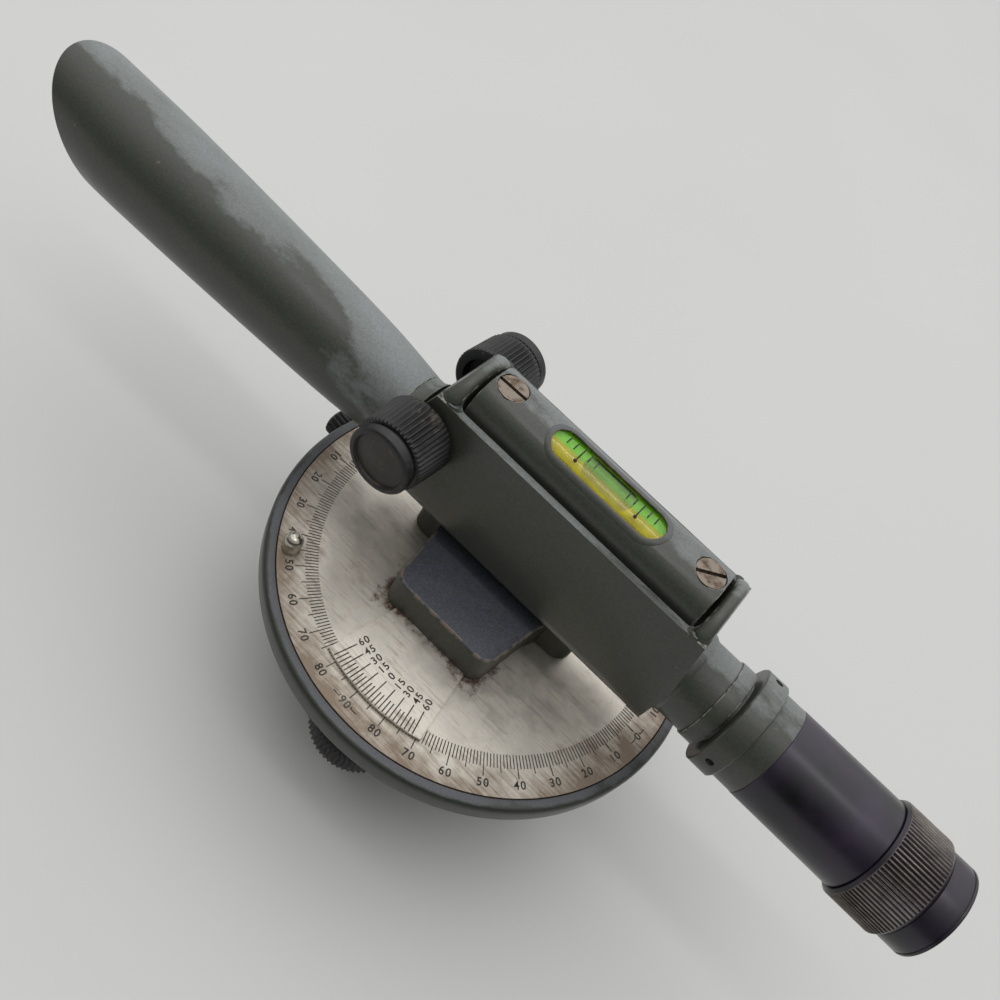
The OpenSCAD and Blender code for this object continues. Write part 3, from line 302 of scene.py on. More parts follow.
def silvered_plate(name, silver, stain, rust):
    """Silvered brass scale plate: satin, scratched, browned toward the rim, with rusty specks, and with a brown
    painted shadow round the pedestal's foot.
    """
    material, tree, shader, where = blank(name)
    apart = add(tree, "SeparateXYZ", {0: where}).node.outputs
    flat = add(tree, "CombineXYZ", {0: apart[0], 1: apart[1]})
    out = add(tree, "VectorMath", {0: flat}, operation="LENGTH")
    blotch = add(tree, "TexNoise", {"Vector": where, "Scale": 1 / 0.013, "Detail": 10.0, "Roughness": 0.7})
    speck = add(tree, "TexNoise", {"Vector": where, "Scale": 1 / 0.0024, "Detail": 6.0, "Roughness": 0.72})
    # Scratches run mostly one way, under 1 mm wide and a few millimetres long.
    turned = add(tree, "Mapping", {"Vector": where, "Rotation": (0, 0, 0.5), "Scale": (0.07, 1.0, 1.0)})
    scratch = add(tree, "TexNoise", {"Vector": turned, "Scale": 1 / 0.0007, "Detail": 4.0, "Roughness": 0.7})
    # The brown deepens from 41 mm to the rim, and scratches break it up into streaks.
    rim = add(tree, "MapRange", {"Value": out, "From Min": 0.041, "From Max": 0.0525, "To Max": 0.32})
    brown = add(tree, "Math", {0: scratch, 1: 0.6, 2: blotch}, operation="MULTIPLY_ADD")
    brown = add(tree, "Math", {0: brown, 1: 0.3}, operation="SUBTRACT")
    brown = add(tree, "Math", {0: brown, 1: rim}, operation="ADD")
    # A painted shadow in a rusty brown follows the outline of the pedestal's block, so a turned circle shows it as a
    # line.
    left, right = min(co.x for co in BLOCK), max(co.x for co in BLOCK)
    across = add(tree, "Math", {0: apart[0], 1: (left + right) / 2}, operation="SUBTRACT")
    across = add(tree, "Math", {0: across}, operation="ABSOLUTE")
    across = add(tree, "Math", {0: across, 1: (right - left) / 2}, operation="SUBTRACT")
    ahead = add(tree, "Math", {0: BLOCK_Y, 1: apart[1]}, operation="SUBTRACT")
    off = add(tree, "Math", {0: across, 1: ahead}, operation="MAXIMUM")
    off = add(tree, "Math", {0: off}, operation="ABSOLUTE")
    foot = add(tree, "MapRange", {"Value": off, "From Max": 0.0045, "To Min": 0.38, "To Max": 0.0})
    # It ends where the pedestal's round boss begins.
    beside = add(tree, "MapRange", {"Value": apart[1], "From Min": -0.016, "From Max": -0.008,
                                    "To Min": 1.0, "To Max": 0.0})
    foot = add(tree, "Math", {0: foot, 1: beside}, operation="MULTIPLY")
    # Rusty specks join the painted shadow and take the same brown.
    foot = add(tree, "Math", {0: speck, 1: foot}, operation="ADD")
    tone = add(tree, RAMP, {"Fac": blotch}, ((0.32, hex_linear(silver, 0.72)), (0.60, hex_linear(silver))))
    line = add(tree, RAMP, {"Fac": scratch}, ((0.30, grey(0.80)), (0.45, grey(1.0)), (0.62, grey(1.0)),
                                              (0.74, grey(1.16))))
    tone = add(tree, "Mix", {0: 1.0, 6: tone, 7: line}, data_type="RGBA", blend_type="MULTIPLY")
    mark = add(tree, RAMP, {"Fac": brown}, ((0.55, grey(0.0)), (0.68, grey(0.45)), (0.86, grey(0.85))))
    pit = add(tree, RAMP, {"Fac": speck}, ((0.64, grey(0.0)), (0.74, grey(0.6))))
    rust_and_shade_mask = add(tree, RAMP, {"Fac": foot}, ((0.72, grey(0.0)), (0.90, grey(0.9))))
    colour = add(tree, "Mix", {0: mark, 6: tone, 7: hex_linear(stain)}, data_type="RGBA")
    colour = add(tree, "Mix", {0: pit, 6: colour, 7: hex_linear(stain, 0.5)}, data_type="RGBA")
    plug(shader, {
        "Base Color": add(tree, "Mix", {0: rust_and_shade_mask, 6: colour, 7: hex_linear(rust)}, data_type="RGBA"),
        "Metallic": 0.65,
        "Roughness": add(tree, RAMP, {"Fac": brown}, ((0.4, grey(0.31)), (0.8, grey(0.55)))),
        "Normal": add(tree, "Bump", {"Height": scratch, "Strength": 0.05, "Distance": 0.0001}),
    })
    return material


def turned_metal(name, colour, tarnish, roughness, amount):
    """Bare turned metal with tarnish in blotches of about 3 mm; amount says how much of it."""
    material, tree, shader, where = blank(name)
    spot = add(tree, "TexNoise", {"Vector": where, "Scale": 1 / 0.003, "Detail": 7.0, "Roughness": 0.7})
    low, dull = 0.75 - 0.35 * amount, min(1.0, roughness + 0.3)
    plug(shader, {
        "Base Color": add(tree, RAMP, {"Fac": spot}, ((low, hex_linear(colour)), (low + 0.16, hex_linear(tarnish)))),
        "Metallic": 0.9,
        "Roughness": add(tree, RAMP, {"Fac": spot}, ((low, grey(roughness)), (low + 0.2, grey(dull)))),
        "Normal": add(tree, "Bump", {"Height": spot, "Strength": 0.15, "Distance": 0.0001}),
    })
    return material


def engraving_wax(name, black):
    """Black wax rubbed into the engraved lines: matt, worn thin in places."""
    material, tree, shader, where = blank(name)
    thin = add(tree, "TexNoise", {"Vector": where, "Scale": 1 / 0.004, "Detail": 6.0})
    plug(shader, {
        "Base Color": add(tree, RAMP, {"Fac": thin}, ((0.5, hex_linear(black)), (0.78, hex_linear("#6b655b")))),
        "Roughness": 0.8,
    })
    return material


def tinted_spirit(name, far, near):
    """Spirit coloured yellow on its near half and green on its far half, with a painted glow from its emission, though
    it is no lamp.
    """
    material, tree, shader, where = blank(name)
    apart = add(tree, "SeparateXYZ", {0: where}).node.outputs
    cloud = add(tree, "TexNoise", {"Vector": where, "Scale": 1 / 0.004, "Detail": 3.0})
    # The colours meet on a plane that slants down at 45 degrees from 1 mm to the near side of the vial's middle.
    deep = add(tree, "Math", {0: apart[2], 1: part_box("vial_spirit")[1].z}, operation="SUBTRACT")
    place = add(tree, "Math", {0: apart[1], 1: deep}, operation="ADD")
    place = add(tree, "MapRange", {"Value": place, "From Min": -0.0014, "From Max": -0.0005})
    colour = add(tree, RAMP, {"Fac": place}, ((0.0, hex_linear(near)), (0.5, hex_linear("#98ac04")),
                                              (1.0, hex_linear(far))))
    tone = add(tree, RAMP, {"Fac": cloud}, ((0.3, grey(0.72)), (0.7, grey(1.05))))
    colour = add(tree, "Mix", {0: 1.0, 6: colour, 7: tone}, data_type="RGBA", blend_type="MULTIPLY")
    # Painted glow: the emission makes the spirit shine in its own colour, though no lamp is inside it.
    plug(shader, {"Base Color": colour, "Emission Color": colour, "Emission Strength": 0.32, "Roughness": 0.15,
                  "IOR": 1.36})
    return material


def clear_glass(name, tint, ior, polish=0.0):
    """Polished clear glass or acrylic, with the faintest smear so that it is not perfect."""
    material, tree, shader, where = blank(name)
    smear = add(tree, "TexNoise", {"Vector": where, "Scale": 1 / 0.006, "Detail": 4.0})
    rough = add(tree, RAMP, {"Fac": smear}, ((0.4, grey(0.02)), (0.8, grey(0.08))))
    plug(shader, {"Roughness": rough, "Base Color": hex_linear(tint), "Transmission Weight": 1.0, "IOR": ior,
                  "Coat Weight": polish})
    return material


def pale_nylon(name, colour):
    """Moulded nylon: milky and soft, with a slight mottle."""
    material, tree, shader, where = blank(name)
    mottle = add(tree, "TexNoise", {"Vector": where, "Scale": 1 / 0.004})
    tint = add(tree, RAMP, {"Fac": mottle}, ((0.3, hex_linear(colour, 0.85)), (0.7, hex_linear(colour))))
    plug(shader, {"Base Color": tint, "Roughness": 0.45})
    return material


FINISH = {}


def finish(key):
    """The named finish, made once."""
    if not FINISH:
        c = bpy.context.scene.level_colours
        neck = (-66 * MM, -44 * MM)
        FINISH.update(
            # The enamels' last numbers set how much painted light their faces take toward the far, upper side.
            enamel=baked_enamel("baked_grey_enamel", c.enamel, c.enamel_rub, c.bare, 0.0),
            enamel_edge=baked_enamel("enamel_worn_at_the_edge", c.enamel, c.enamel_rub, c.bare, 0.74, 0.20),
            tube=baked_enamel("enamel_rubbed_at_the_neck", c.enamel, c.enamel_rub, c.worn_brown, 0.10, 0.50, neck),
            # The rim and the window's border take a painted reflection in blue-grey on their tops.
            rim=baked_enamel("blue_grey_enamel", c.rim, c.rim_top, c.bare, 0.0, 0.5),
            rim_edge=baked_enamel("rim_enamel_worn_brown", c.rim, c.rim_top, c.stain, 0.75, 0.5),
            bead=baked_enamel("enamel_of_the_window_border", c.enamel, c.rim_top, c.bare, 0.0, 0.5),
            bead_edge=baked_enamel("window_border_worn_brown", c.enamel, c.rim_top, c.stain, 0.9, 0.3),
            wrinkle=wrinkle_enamel("slate_wrinkle_enamel", c.wrinkle, c.wrinkle_side, c.bare, 0.0),
            wrinkle_edge=wrinkle_enamel("wrinkle_enamel_worn_at_the_edge", c.wrinkle, c.wrinkle_side, "#76695a", 0.95),
            phenolic=moulded_phenolic("black_moulded_phenolic", c.phenolic, "#5c5349"),
            dirty=moulded_phenolic("phenolic_with_dried_dirt", "#2b2622", "#75634f"),
            anodised=black_anodising("black_anodised_aluminium", c.anodised, c.faded),
            knurl=black_anodising("black_finish_worn_at_the_crests", c.anodised, c.faded, "#7a7067"),
            silver=silvered_plate("silvered_brass_plate", c.silver, c.stain, c.rust),
            wax=engraving_wax("black_engraving_wax", c.filling),
            steel=turned_metal("turned_steel", "#a3a19d", "#6b5b4c", 0.32, 0.2),
            rusty=turned_metal("rusted_steel_screw", "#80766c", "#584638", 0.42, 0.75),
            bright=turned_metal("polished_nickel", "#b3afa2", "#8a8176", 0.24, 0.2),
            bronze=turned_metal("turned_bronze", "#b08a4a", "#6b5030", 0.35, 0.3),
            glass=clear_glass("optical_glass", "#eef6f7", 1.52),
            acrylic=clear_glass("clear_acrylic", "#f4f8e2", 1.2, polish=0.6),
            spirit=tinted_spirit("spirit_with_painted_glow", c.green, c.yellow),
            nylon=pale_nylon("moulded_nylon", "#e4e0d2"),
        )
    return FINISH[key]


def piece(name, bm, body, finishes, nodes=(), place=None, smooth=35):
    """Mesh object from a bmesh, riding on a body and standing for the named solids."""
    if place is not None:
        bm.transform(place)
    bmesh.ops.recalc_face_normals(bm, faces=bm.faces)
    mesh = bpy.data.meshes.new(name)
    bm.to_mesh(mesh)
    bm.free()
    for face in mesh.polygons:
        face.use_smooth = True
    mesh.set_sharp_from_angle(angle=math.radians(smooth))
    for key in finishes:
        mesh.materials.append(finish(key))
    obj = bpy.data.objects.new(name, mesh)
    bpy.context.scene.collection.objects.link(obj)
    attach(obj, body)
    if nodes:
        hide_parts(*nodes)


def cut(bm, at, outward):
    """Cuts away what lies outside a plane and leaves the cut open."""
    geometry = bm.verts[:] + bm.edges[:] + bm.faces[:]
    bmesh.ops.bisect_plane(bm, geom=geometry, plane_co=at, plane_no=outward, clear_outer=True)


def bevel(bm, edges, width, clamp=True):
    """Rounds edges; the rounding takes the second finish."""
    bmesh.ops.bevel(bm, geom=edges, offset=width, offset_type="OFFSET", segments=3, profile=0.5, affect="EDGES",
                    clamp_overlap=clamp, material=1)


def broken_edges(name, node, body, finishes, width, top=None, above=None):
    """Copy of a solid, cut off at a top, with its sharp edges (or those above a height) rounded."""
    bm = bmesh.new()
    bm.from_mesh(frame["nodes"][node].data)
    bmesh.ops.remove_doubles(bm, verts=bm.verts, dist=2e-6)
    bmesh.ops.dissolve_limit(bm, angle_limit=math.radians(0.6), verts=bm.verts, edges=bm.edges)
    sharp = [e for e in bm.edges if len(e.link_faces) == 2 and e.calc_face_angle() > math.radians(32)]
    if above:
        sharp = [e for e in sharp if min(v.co.z for v in e.verts) > above]
    bevel(bm, sharp, width, clamp=above is None)
    if top:
        cut(bm, (0, 0, top), (0, 0, 1))
        bmesh.ops.holes_fill(bm, edges=[e for e in bm.edges if e.is_boundary], sides=0)
    bmesh.ops.triangulate(bm, faces=[f for f in bm.faces if len(f.verts) > 4])
    piece(name, bm, body, finishes, (node,), smooth=12 if above else 35)


def join_rings(bm, rings, edge_rows=(), ends=True):
    """Skins rings of equal count, with or without ends; faces in the edge rows take the second finish."""
    for p, q in zip(rings, rings[1:]):
        for k in range(len(p)):
            j = (k + 1) % len(p)
            bm.faces.new((p[k], p[j], q[j], q[k])).material_index = 1 if k in edge_rows else 0
    if ends:
        bm.faces.new(rings[0])
        bm.faces.new(rings[-1][::-1])


def end_wall(name, inner, low, high):
    """Top of an arched end wall: a bar with a round crest and round ends, its outer face leaning from low to high."""
    base, crest, reach = AXIS_Z + RIM_UP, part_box("telescope_body")[1].z, 1.5 * MM
    rise = crest - base
    radius = (WALL_HALF ** 2 + rise ** 2) / (2 * rise)
    side = math.asin(WALL_HALF / radius)
    bm, rings, steps, turns = bmesh.new(), [], 72, 12
    fillet_from, fillet_w = 8.0 * MM, 1.8 * MM
    for i in range(steps + 1):
        a = side * math.sin(math.pi / 2 * (2 * i / steps - 1))
        y, z = radius * math.sin(a), crest - radius + radius * math.cos(a)
        outer = low + (high - low) * (z - base) / rise
        middle, thick = (inner + outer) / 2, (outer - inner) / 2
        # The bar's ends are half round in plan.
        left = min(radius * (side - abs(a)) / abs(thick), 1.0)
        full = max(math.sqrt(1 - (1 - left) ** 2), 0.06)
        # Where the bar meets a side rim its inner face runs out in a fillet.
        flare = math.copysign(fillet_w, inner - outer) * min(max((abs(y) - fillet_from) / (1.0 * MM), 0.0), 1.0)
        drop = reach + (1 - full) * 0.8 * MM
        y = max(min(y, WALL_HALF - 0.1 * MM), 0.1 * MM - WALL_HALF)
        ring = [(middle + (low - outer) * full + thick * full, y, base - 0.4 * MM)]
        for k in range(turns + 1):
            t = math.pi * k / turns
            lift = reach * math.sin(t) - drop
            ring.append((middle + thick * full * math.cos(t), y + math.sin(a) * lift,
                         max(z + math.cos(a) * lift, base - 0.3 * MM)))
        ring.append((middle - thick * full + flare * 0.35, y, base + 0.6 * MM if abs(y) > fillet_from else base))
        ring.append((middle - thick * full + flare, y, base - 0.4 * MM))
        rings.append([bm.verts.new(p) for p in ring])
    join_rings(bm, rings, (2, turns - 1))
    piece(name, bm, "alidade", ("enamel", "enamel_edge"), smooth=50)


def rounded(points, radius):
    """Profile with its corners rounded: list of (along, out, 1 on a rounding)."""
    out = [(*points[0], 0)]
    for a, b, c in zip(points, points[1:], points[2:]):
        q = Vector(b)
        u, v = Vector(a) - q, Vector(c) - q
        if u.length < TINY or v.length < TINY or u.angle(v) > math.radians(160):
            out.append((q.x, q.y, 0))
            continue
        reach = min(radius, 0.45 * u.length, 0.45 * v.length)
        s, e = q + u.normalized() * reach, q + v.normalized() * reach
        for k in range(5):
            t = k / 4
            w = s * (1 - t) ** 2 + q * 2 * t * (1 - t) + e * t ** 2
            out.append((w.x, w.y, 1 if k else 0))
    out.append((*points[-1], 0))
    return out


def spun(stations, count=112, ribs=0, groove=(0.0, 0.0, 0.0)):
    """Turned solid about Z from (along, out) or (along, out, mark) in mm; ribs have a groove (depth, from, to)."""
    bm = bmesh.new()
    shape = (0.0, 0.0, 0.75, 1.0, 0.75) if ribs else (0.0,)
    total = ribs * len(shape) or count
    depth, start, stop = groove
    rings = []
    for along, out, *mark in stations:
        deep = depth if start <= along <= stop else 0.0
        ring = []
        for i in range(total if out > TINY else 1):
            a = 2 * math.pi * i / total
            r = (out - deep * shape[i % len(shape)]) * MM if out > TINY else 0.0
            ring.append(bm.verts.new((r * math.cos(a), r * math.sin(a), along * MM)))
        rings.append((ring, mark[0] if mark else 0))
    pairs = list(zip(rings, rings[1:]))
    if stations[0][1] > TINY:
        pairs.append((rings[-1], rings[0]))
    for (a, _), (b, mark) in pairs:
        for i in range(total):
            j = (i + 1) % total
            if len(a) == 1:
                corners = [a[0], b[i], b[j]]
            elif len(b) == 1:
                corners = [a[i], b[0], a[j]]
            else:
                corners = [a[i], b[i], b[j], a[j]]
            bm.faces.new(corners).material_index = mark
    return bm


def span(node):
    """Where a solid starts and ends along the telescope, in mm."""
    low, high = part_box(node)
    return low.x / MM, high.x / MM


class LEVEL_OT_castings(bpy.types.Operator):
    """Painted castings: telescope body, vial holder, pedestal, circle pan, levelling head and foot"""

    bl_idname = "level.castings"
    bl_label = "Castings"

    def execute(self, context):
        edge = context.scene.level_sizes.edge
        enamel = ("enamel", "enamel_edge")
        # The arched end walls stand above the side rims and are rounded right over, also in plan.
        broken_edges("body_casting", "telescope_body", "alidade", enamel, 1.1 * edge, AXIS_Z + RIM_UP)
        for name, faces in END_WALLS.items():
            end_wall(name, *(x * MM for x in faces))
        broken_edges("vial_holder_bar", "vial_holder", "alidade", enamel, edge)
        block_top = max(co.z for co in BLOCK)
        broken_edges("pedestal_casting", "pedestal", "alidade", ("wrinkle", "wrinkle_edge"), edge,
                     above=block_top - 0.1 * MM)
        broken_edges("pan_casting", "circle_pan", "head", ("rim", "rim_edge"), 0.6 * edge)
        broken_edges("head_casting", "levelling_head", "head", enamel, 1.6 * edge)
        broken_edges("foot_casting", "foot_plate", "foot", enamel, 1.2 * edge)
        return {"FINISHED"}


class LEVEL_OT_objective_tube(bpy.types.Operator):
    """Tapered objective tube with its slant-cut sunshade"""

    bl_idname = "level.objective_tube"
    bl_label = "Objective tube"

    def execute(self, context):
        low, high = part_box("objective_tube")
        front, rear, r_front = low.x / MM, high.x / MM, (high.y - low.y) / 2 / MM
        lens = span("objective_ring")[0]
        line = [(rear, 8.2), (rear, NECK_R), (TUBE[0][0], NECK_R)]
        line += [(x, min(r, r_front)) for x, r in TUBE]
        line += [(front - 4, r_front), (front - 4, r_front - 1.45), (lens + 1, 12.42), (lens + 20, 11.0), (-54, 10.15)]
        bm = spun(rounded(line, 0.25), 144)
        bm.transform(ALONG_X)
        outward = -Vector((2 * r_front / SLANT_L, 0, 1)).normalized()
        cut(bm, Vector(((front + SLANT_L / 2) * MM, 0, AXIS_Z)), outward)
        lip = bmesh.ops.bridge_loops(bm, edges=[e for e in bm.edges if len(e.link_faces) == 1])["faces"]
        bevel(bm, list({e for f in lip for e in f.edges if any(g not in lip for g in e.link_faces)}), 0.55 * MM)
        # The bore is painted black.
        for face in bm.faces:
            c = face.calc_center_median()
            x = c.x / MM
            skin = r_front if x < TUBE[-1][0] else next((r for place, r in TUBE[::-1] if place >= x), 0.0)
            if face.material_index == 0 and math.hypot(c.y, c.z - AXIS_Z) / MM < skin - 1.0:
                face.material_index = 2
        finishes = ("tube", "enamel_edge", "anodised")
        piece("objective_barrel", bm, "alidade", finishes, ("objective_tube",))
        return {"FINISHED"}


class LEVEL_OT_eyepiece(bpy.types.Operator):
    """Turned eyepiece end: sleeve ring, reticle collar, tube, knurled dioptre ring and eye cap"""

    bl_idname = "level.eyepiece"
    bl_label = "Eyepiece"

    def execute(self, context):
        for name, node, width in (("neck_sleeve", "sleeve_ring", 0.18), ("reticle_housing", "reticle_collar", 0.4)):
            broken_edges(name, node, "alidade", ("enamel", "enamel_edge"), width * MM)
        a, b = span("eyepiece_tube")
        x0 = span("reticle_collar")[1]
        x1 = span("dioptre_ring")[0] - 0.05
        r = 11.9
        line = [(a, 7.5), (a, 9.1), (x0, 9.1), (x0, r), (x1, r), (x1, 10.5), (b, 10.5), (b, 9.55), (x0 + 4, 9.55),
                (x0 + 3, 7.5)]
        piece("eyepiece_barrel", spun(rounded(line, 0.3)), "alidade", ("anodised", "knurl"),
              ("eyepiece_tube",), ALONG_X)
        a, b = span("dioptre_ring")
        r = GRIP_R / MM
        line = [(a, 10.55), (a, r - 0.75), (a + 0.8, r - 0.1), (a + 0.9, r), (b - 0.9, r), (b - 0.8, r - 0.1),
                (b, r - 0.75), (b, 9.72), (b - 1.4, 9.72), (b - 1.4, 10.55)]
        piece("dioptre_grip", spun(line, ribs=84, groove=(0.4, a + 0.85, b - 0.85)), "dioptre",
              ("knurl",), ("dioptre_ring",), ALONG_X, 50)
        a, b = span("eye_cap")
        r = 11.95
        line = [(a, 9.5), (a, r), (b - 1.1, r), (b - 1.1, r - 0.22), (b - 0.8, r - 0.22), (b - 0.8, r), (b, r),
                (b, 8.6), (b - 0.6, 7.9), (b - 2.6, 6.5), (b - 2.6, 8.2), (a + 3, 8.2), (a + 3, 9.5)]
        piece("eye_shell", spun(rounded(line, 0.35)), "ocular", ("anodised", "anodised"),
              ("eye_cap",), ALONG_X)
        return {"FINISHED"}


class LEVEL_OT_knobs(bpy.types.Operator):
    """Ribbed knobs: two on the focusing shaft, four on the levelling screws and the clamp"""

    bl_idname = "level.knobs"
    bl_label = "Knobs"

    def execute(self, context):
        # Focusing knobs, from the body outward: recessed back, tapering ribbed grip, plain collar, dished face.
        low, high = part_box("focus_knob_near")
        mid = (low + high) / 2
        end, back_r, face_r = (high.y - low.y) / MM, 9.0, 7.8
        top = end - 3.2
        grip = [(t, back_r + (face_r + 0.5 - back_r) * t / end) for t in (0.8, *(top * k / 6 for k in range(1, 7)))]
        grip_r = grip.pop()[1]
        line = [(0.9, 0.0), (0.9, 2.0), (0, 2.0), (0, 3.9), (1.6, 4.0), (1.6, 6.5), (0, 6.6), (0, back_r - 0.9),
                (0.35, back_r - 0.25), *grip, (top - 0.3, grip_r), (top, grip_r - 0.5), (top + 0.1, face_r - 0.55),
                (top + 0.55, face_r - 0.55), (top + 0.75, face_r - 0.1), (end - 0.6, face_r),
                (end - 0.2, face_r - 0.2), (end, face_r - 0.6), (end, face_r - 1.3), (end - 0.25, face_r - 1.5)]
        # Dirt has dried on the sunk face.
        line += [(end - 0.8, face_r - 1.6, 1), (end - 0.75, 2.6, 1), (end - 0.45, 1.4, 1), (end - 0.4, 0.0, 1)]
        for name, node, y, turn in (("focus_grip_near", "focus_knob_near", high.y, math.pi / 2),
                                    ("focus_grip_far", "focus_knob_far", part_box("focus_knob_far")[0].y, -math.pi / 2)):
            place = Matrix.Translation((mid.x, y, mid.z)) @ Matrix.Rotation(turn, 4, "X")
            piece(name, spun(line, ribs=48, groove=(0.5, 0.5, top - 0.05)), "focus_drive",
                  ("phenolic", "dirty"), (node,), place, 50)

        low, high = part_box("levelling_knob_1")
        end, r = (high.z - low.z) / MM, (high.x - low.x) / 2 / MM
        line = [(0, 4.05), (0, r - 1.5), (0.4, r - 0.7), (1.0, r - 0.1), (1.3, r), (end - 1.3, r),
                (end - 1.0, r - 0.1), (end - 0.4, r - 0.7), (end, r - 1.5), (end, r - 3), (end - 0.6, r - 3.4),
                (end - 0.6, 4.05)]
        for i in range(1, 5):
            node = "levelling_knob_%d" % i
            low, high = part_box(node)
            place = Matrix.Translation(((low.x + high.x) / 2, (low.y + high.y) / 2, low.z))
            piece("levelling_grip_%d" % i, spun(line, ribs=56, groove=(0.55, 0.5, end - 0.5)), "screw_%d" % i,
                  ("phenolic",), (node,), place, 50)

        joint = next(j for j in frame["joints"] if j["name"] == "clamp_turn")
        inward = Vector(joint["axis"]).normalized()
        low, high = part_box("clamp_knob")
        end, r = 4.5, (high.z - low.z) / 2 / MM
        line = [(1.0, 0.0), (1.0, 1.52), (0, 1.52), (0, r - 0.9), (0.5, r - 0.1), (0.7, r), (end - 0.7, r),
                (end - 0.5, r - 0.1), (end, r - 0.9), (end, 0.6), (end - 0.3, 0.0)]
        turn = Vector((0, 0, 1)).rotation_difference(-inward).to_matrix().to_4x4()
        place = Matrix.Translation((low + high) / 2 + inward * end / 2 * MM) @ turn
        piece("clamp_grip", spun(line, ribs=20, groove=(0.4, 0.5, end - 0.5)), "clamp", ("phenolic",),
              ("clamp_knob",), place, 50)
        return {"FINISHED"}


def stamp(bm, text, height, thick, place):
    """Adds a number to a mesh, centred on a place, its height along the place's Y."""
    curve = bpy.data.curves.new("number", "FONT")
    curve.body = text
    curve.align_x, curve.align_y = "CENTER", "CENTER"
    curve.size = height / 0.70
    curve.space_character = 1.18
    curve.resolution_u = 3
    curve.extrude = thick / 2
    curve.offset = 0.04 * MM
    holder = bpy.data.objects.new("number", curve)
    bpy.context.scene.collection.objects.link(holder)
    bpy.context.view_layer.update()
    mesh = bpy.data.meshes.new_from_object(holder.evaluated_get(bpy.context.evaluated_depsgraph_get()))
    mesh.transform(place)
    bm.from_mesh(mesh)
    bpy.data.objects.remove(holder)
    bpy.data.meshes.remove(mesh)


def stroke(bm, start, end, width, thick):
    """Adds an engraved line between two flat points, resting on their height."""
    start, end = Vector(start), Vector(end)
    side = Vector((-(end - start).y, (end - start).x, 0)).normalized() * width / 2
    up = Vector((0, 0, thick))
    base = [start - side, end - side, end + side, start + side]
    join_rings(bm, [[bm.verts.new(p + lift) for p in base] for lift in (Vector(), up)])


def polar(r, a, z):
    """Point at a radius in mm, an angle and a height."""
    return Vector((r * MM * math.cos(a), r * MM * math.sin(a), z))


class LEVEL_OT_graduations(bpy.types.Operator):
    """Engraved degree lines and numbers on the circle"""

    bl_idname = "level.graduations"
    bl_label = "Circle graduations"

    def execute(self, context):
        s = context.scene.level_sizes
        z = CIRCLE_Z + LIFT
        bm = bmesh.new()
        for degree in range(360):
            a = s.circle_turn - math.radians(degree)
            outer = CIRCLE_TEN if degree % 10 == 0 else CIRCLE_FIVE if degree % 5 == 0 else CIRCLE_ONE
            stroke(bm, polar(CIRCLE_IN, a, z), polar(outer, a, z), s.tick, s.fill)
            if degree % 10:
                continue
            v = degree % 180
            v = v if v <= 90 else 180 - v
            place = Matrix.Translation(polar(NUMBER_R, a, z + s.fill / 2)) @ Matrix.Rotation(a + math.pi / 2, 4, "Z")
            stamp(bm, str(v), s.digit, s.fill, place)
            if v in (0, 90):
                # Beside 0 and 90 a cranked line points each way.
                start, stop = (1.15, 3.1) if v == 0 else (2.15, 4.1)
                for side in (-1, 1):
                    near, far = a + side * math.radians(start), a + side * math.radians(stop)
                    stroke(bm, polar(NUMBER_R, near, z), polar(NUMBER_R, far, z), s.tick, s.fill)
                    stroke(bm, polar(NUMBER_R, near, z), polar(CRANK_R, near, z), s.tick, s.fill)
        piece("circle_graduations", bm, "circle", ("wax",))
        return {"FINISHED"}


class LEVEL_OT_vernier_lines(bpy.types.Operator):
    """Engraved lines and numbers on the vernier"""

    bl_idname = "level.vernier_lines"
    bl_label = "Vernier lines"

    def execute(self, context):
        s = context.scene.level_sizes
        z = VERNIER_Z + LIFT
        bm = bmesh.new()
        for k in range(-12, 13):
            a = -math.pi / 2 + k * VERNIER_STEP
            inner = VERNIER_SHORT if k % 3 else VERNIER_LONG
            stroke(bm, polar(inner, a, z), polar(VERNIER_OUT, a, z), 1.2 * s.tick, s.fill)
            if k % 3 == 0:
                place = Matrix.Translation(polar(VERNIER_NUMBER, a, z + s.fill / 2))
                stamp(bm, str(abs(k) * 5), 0.92 * s.digit, s.fill, place @ Matrix.Rotation(a + math.pi, 4, "Z"))
        piece("vernier_lines", bm, "alidade", ("wax",))
        return {"FINISHED"}


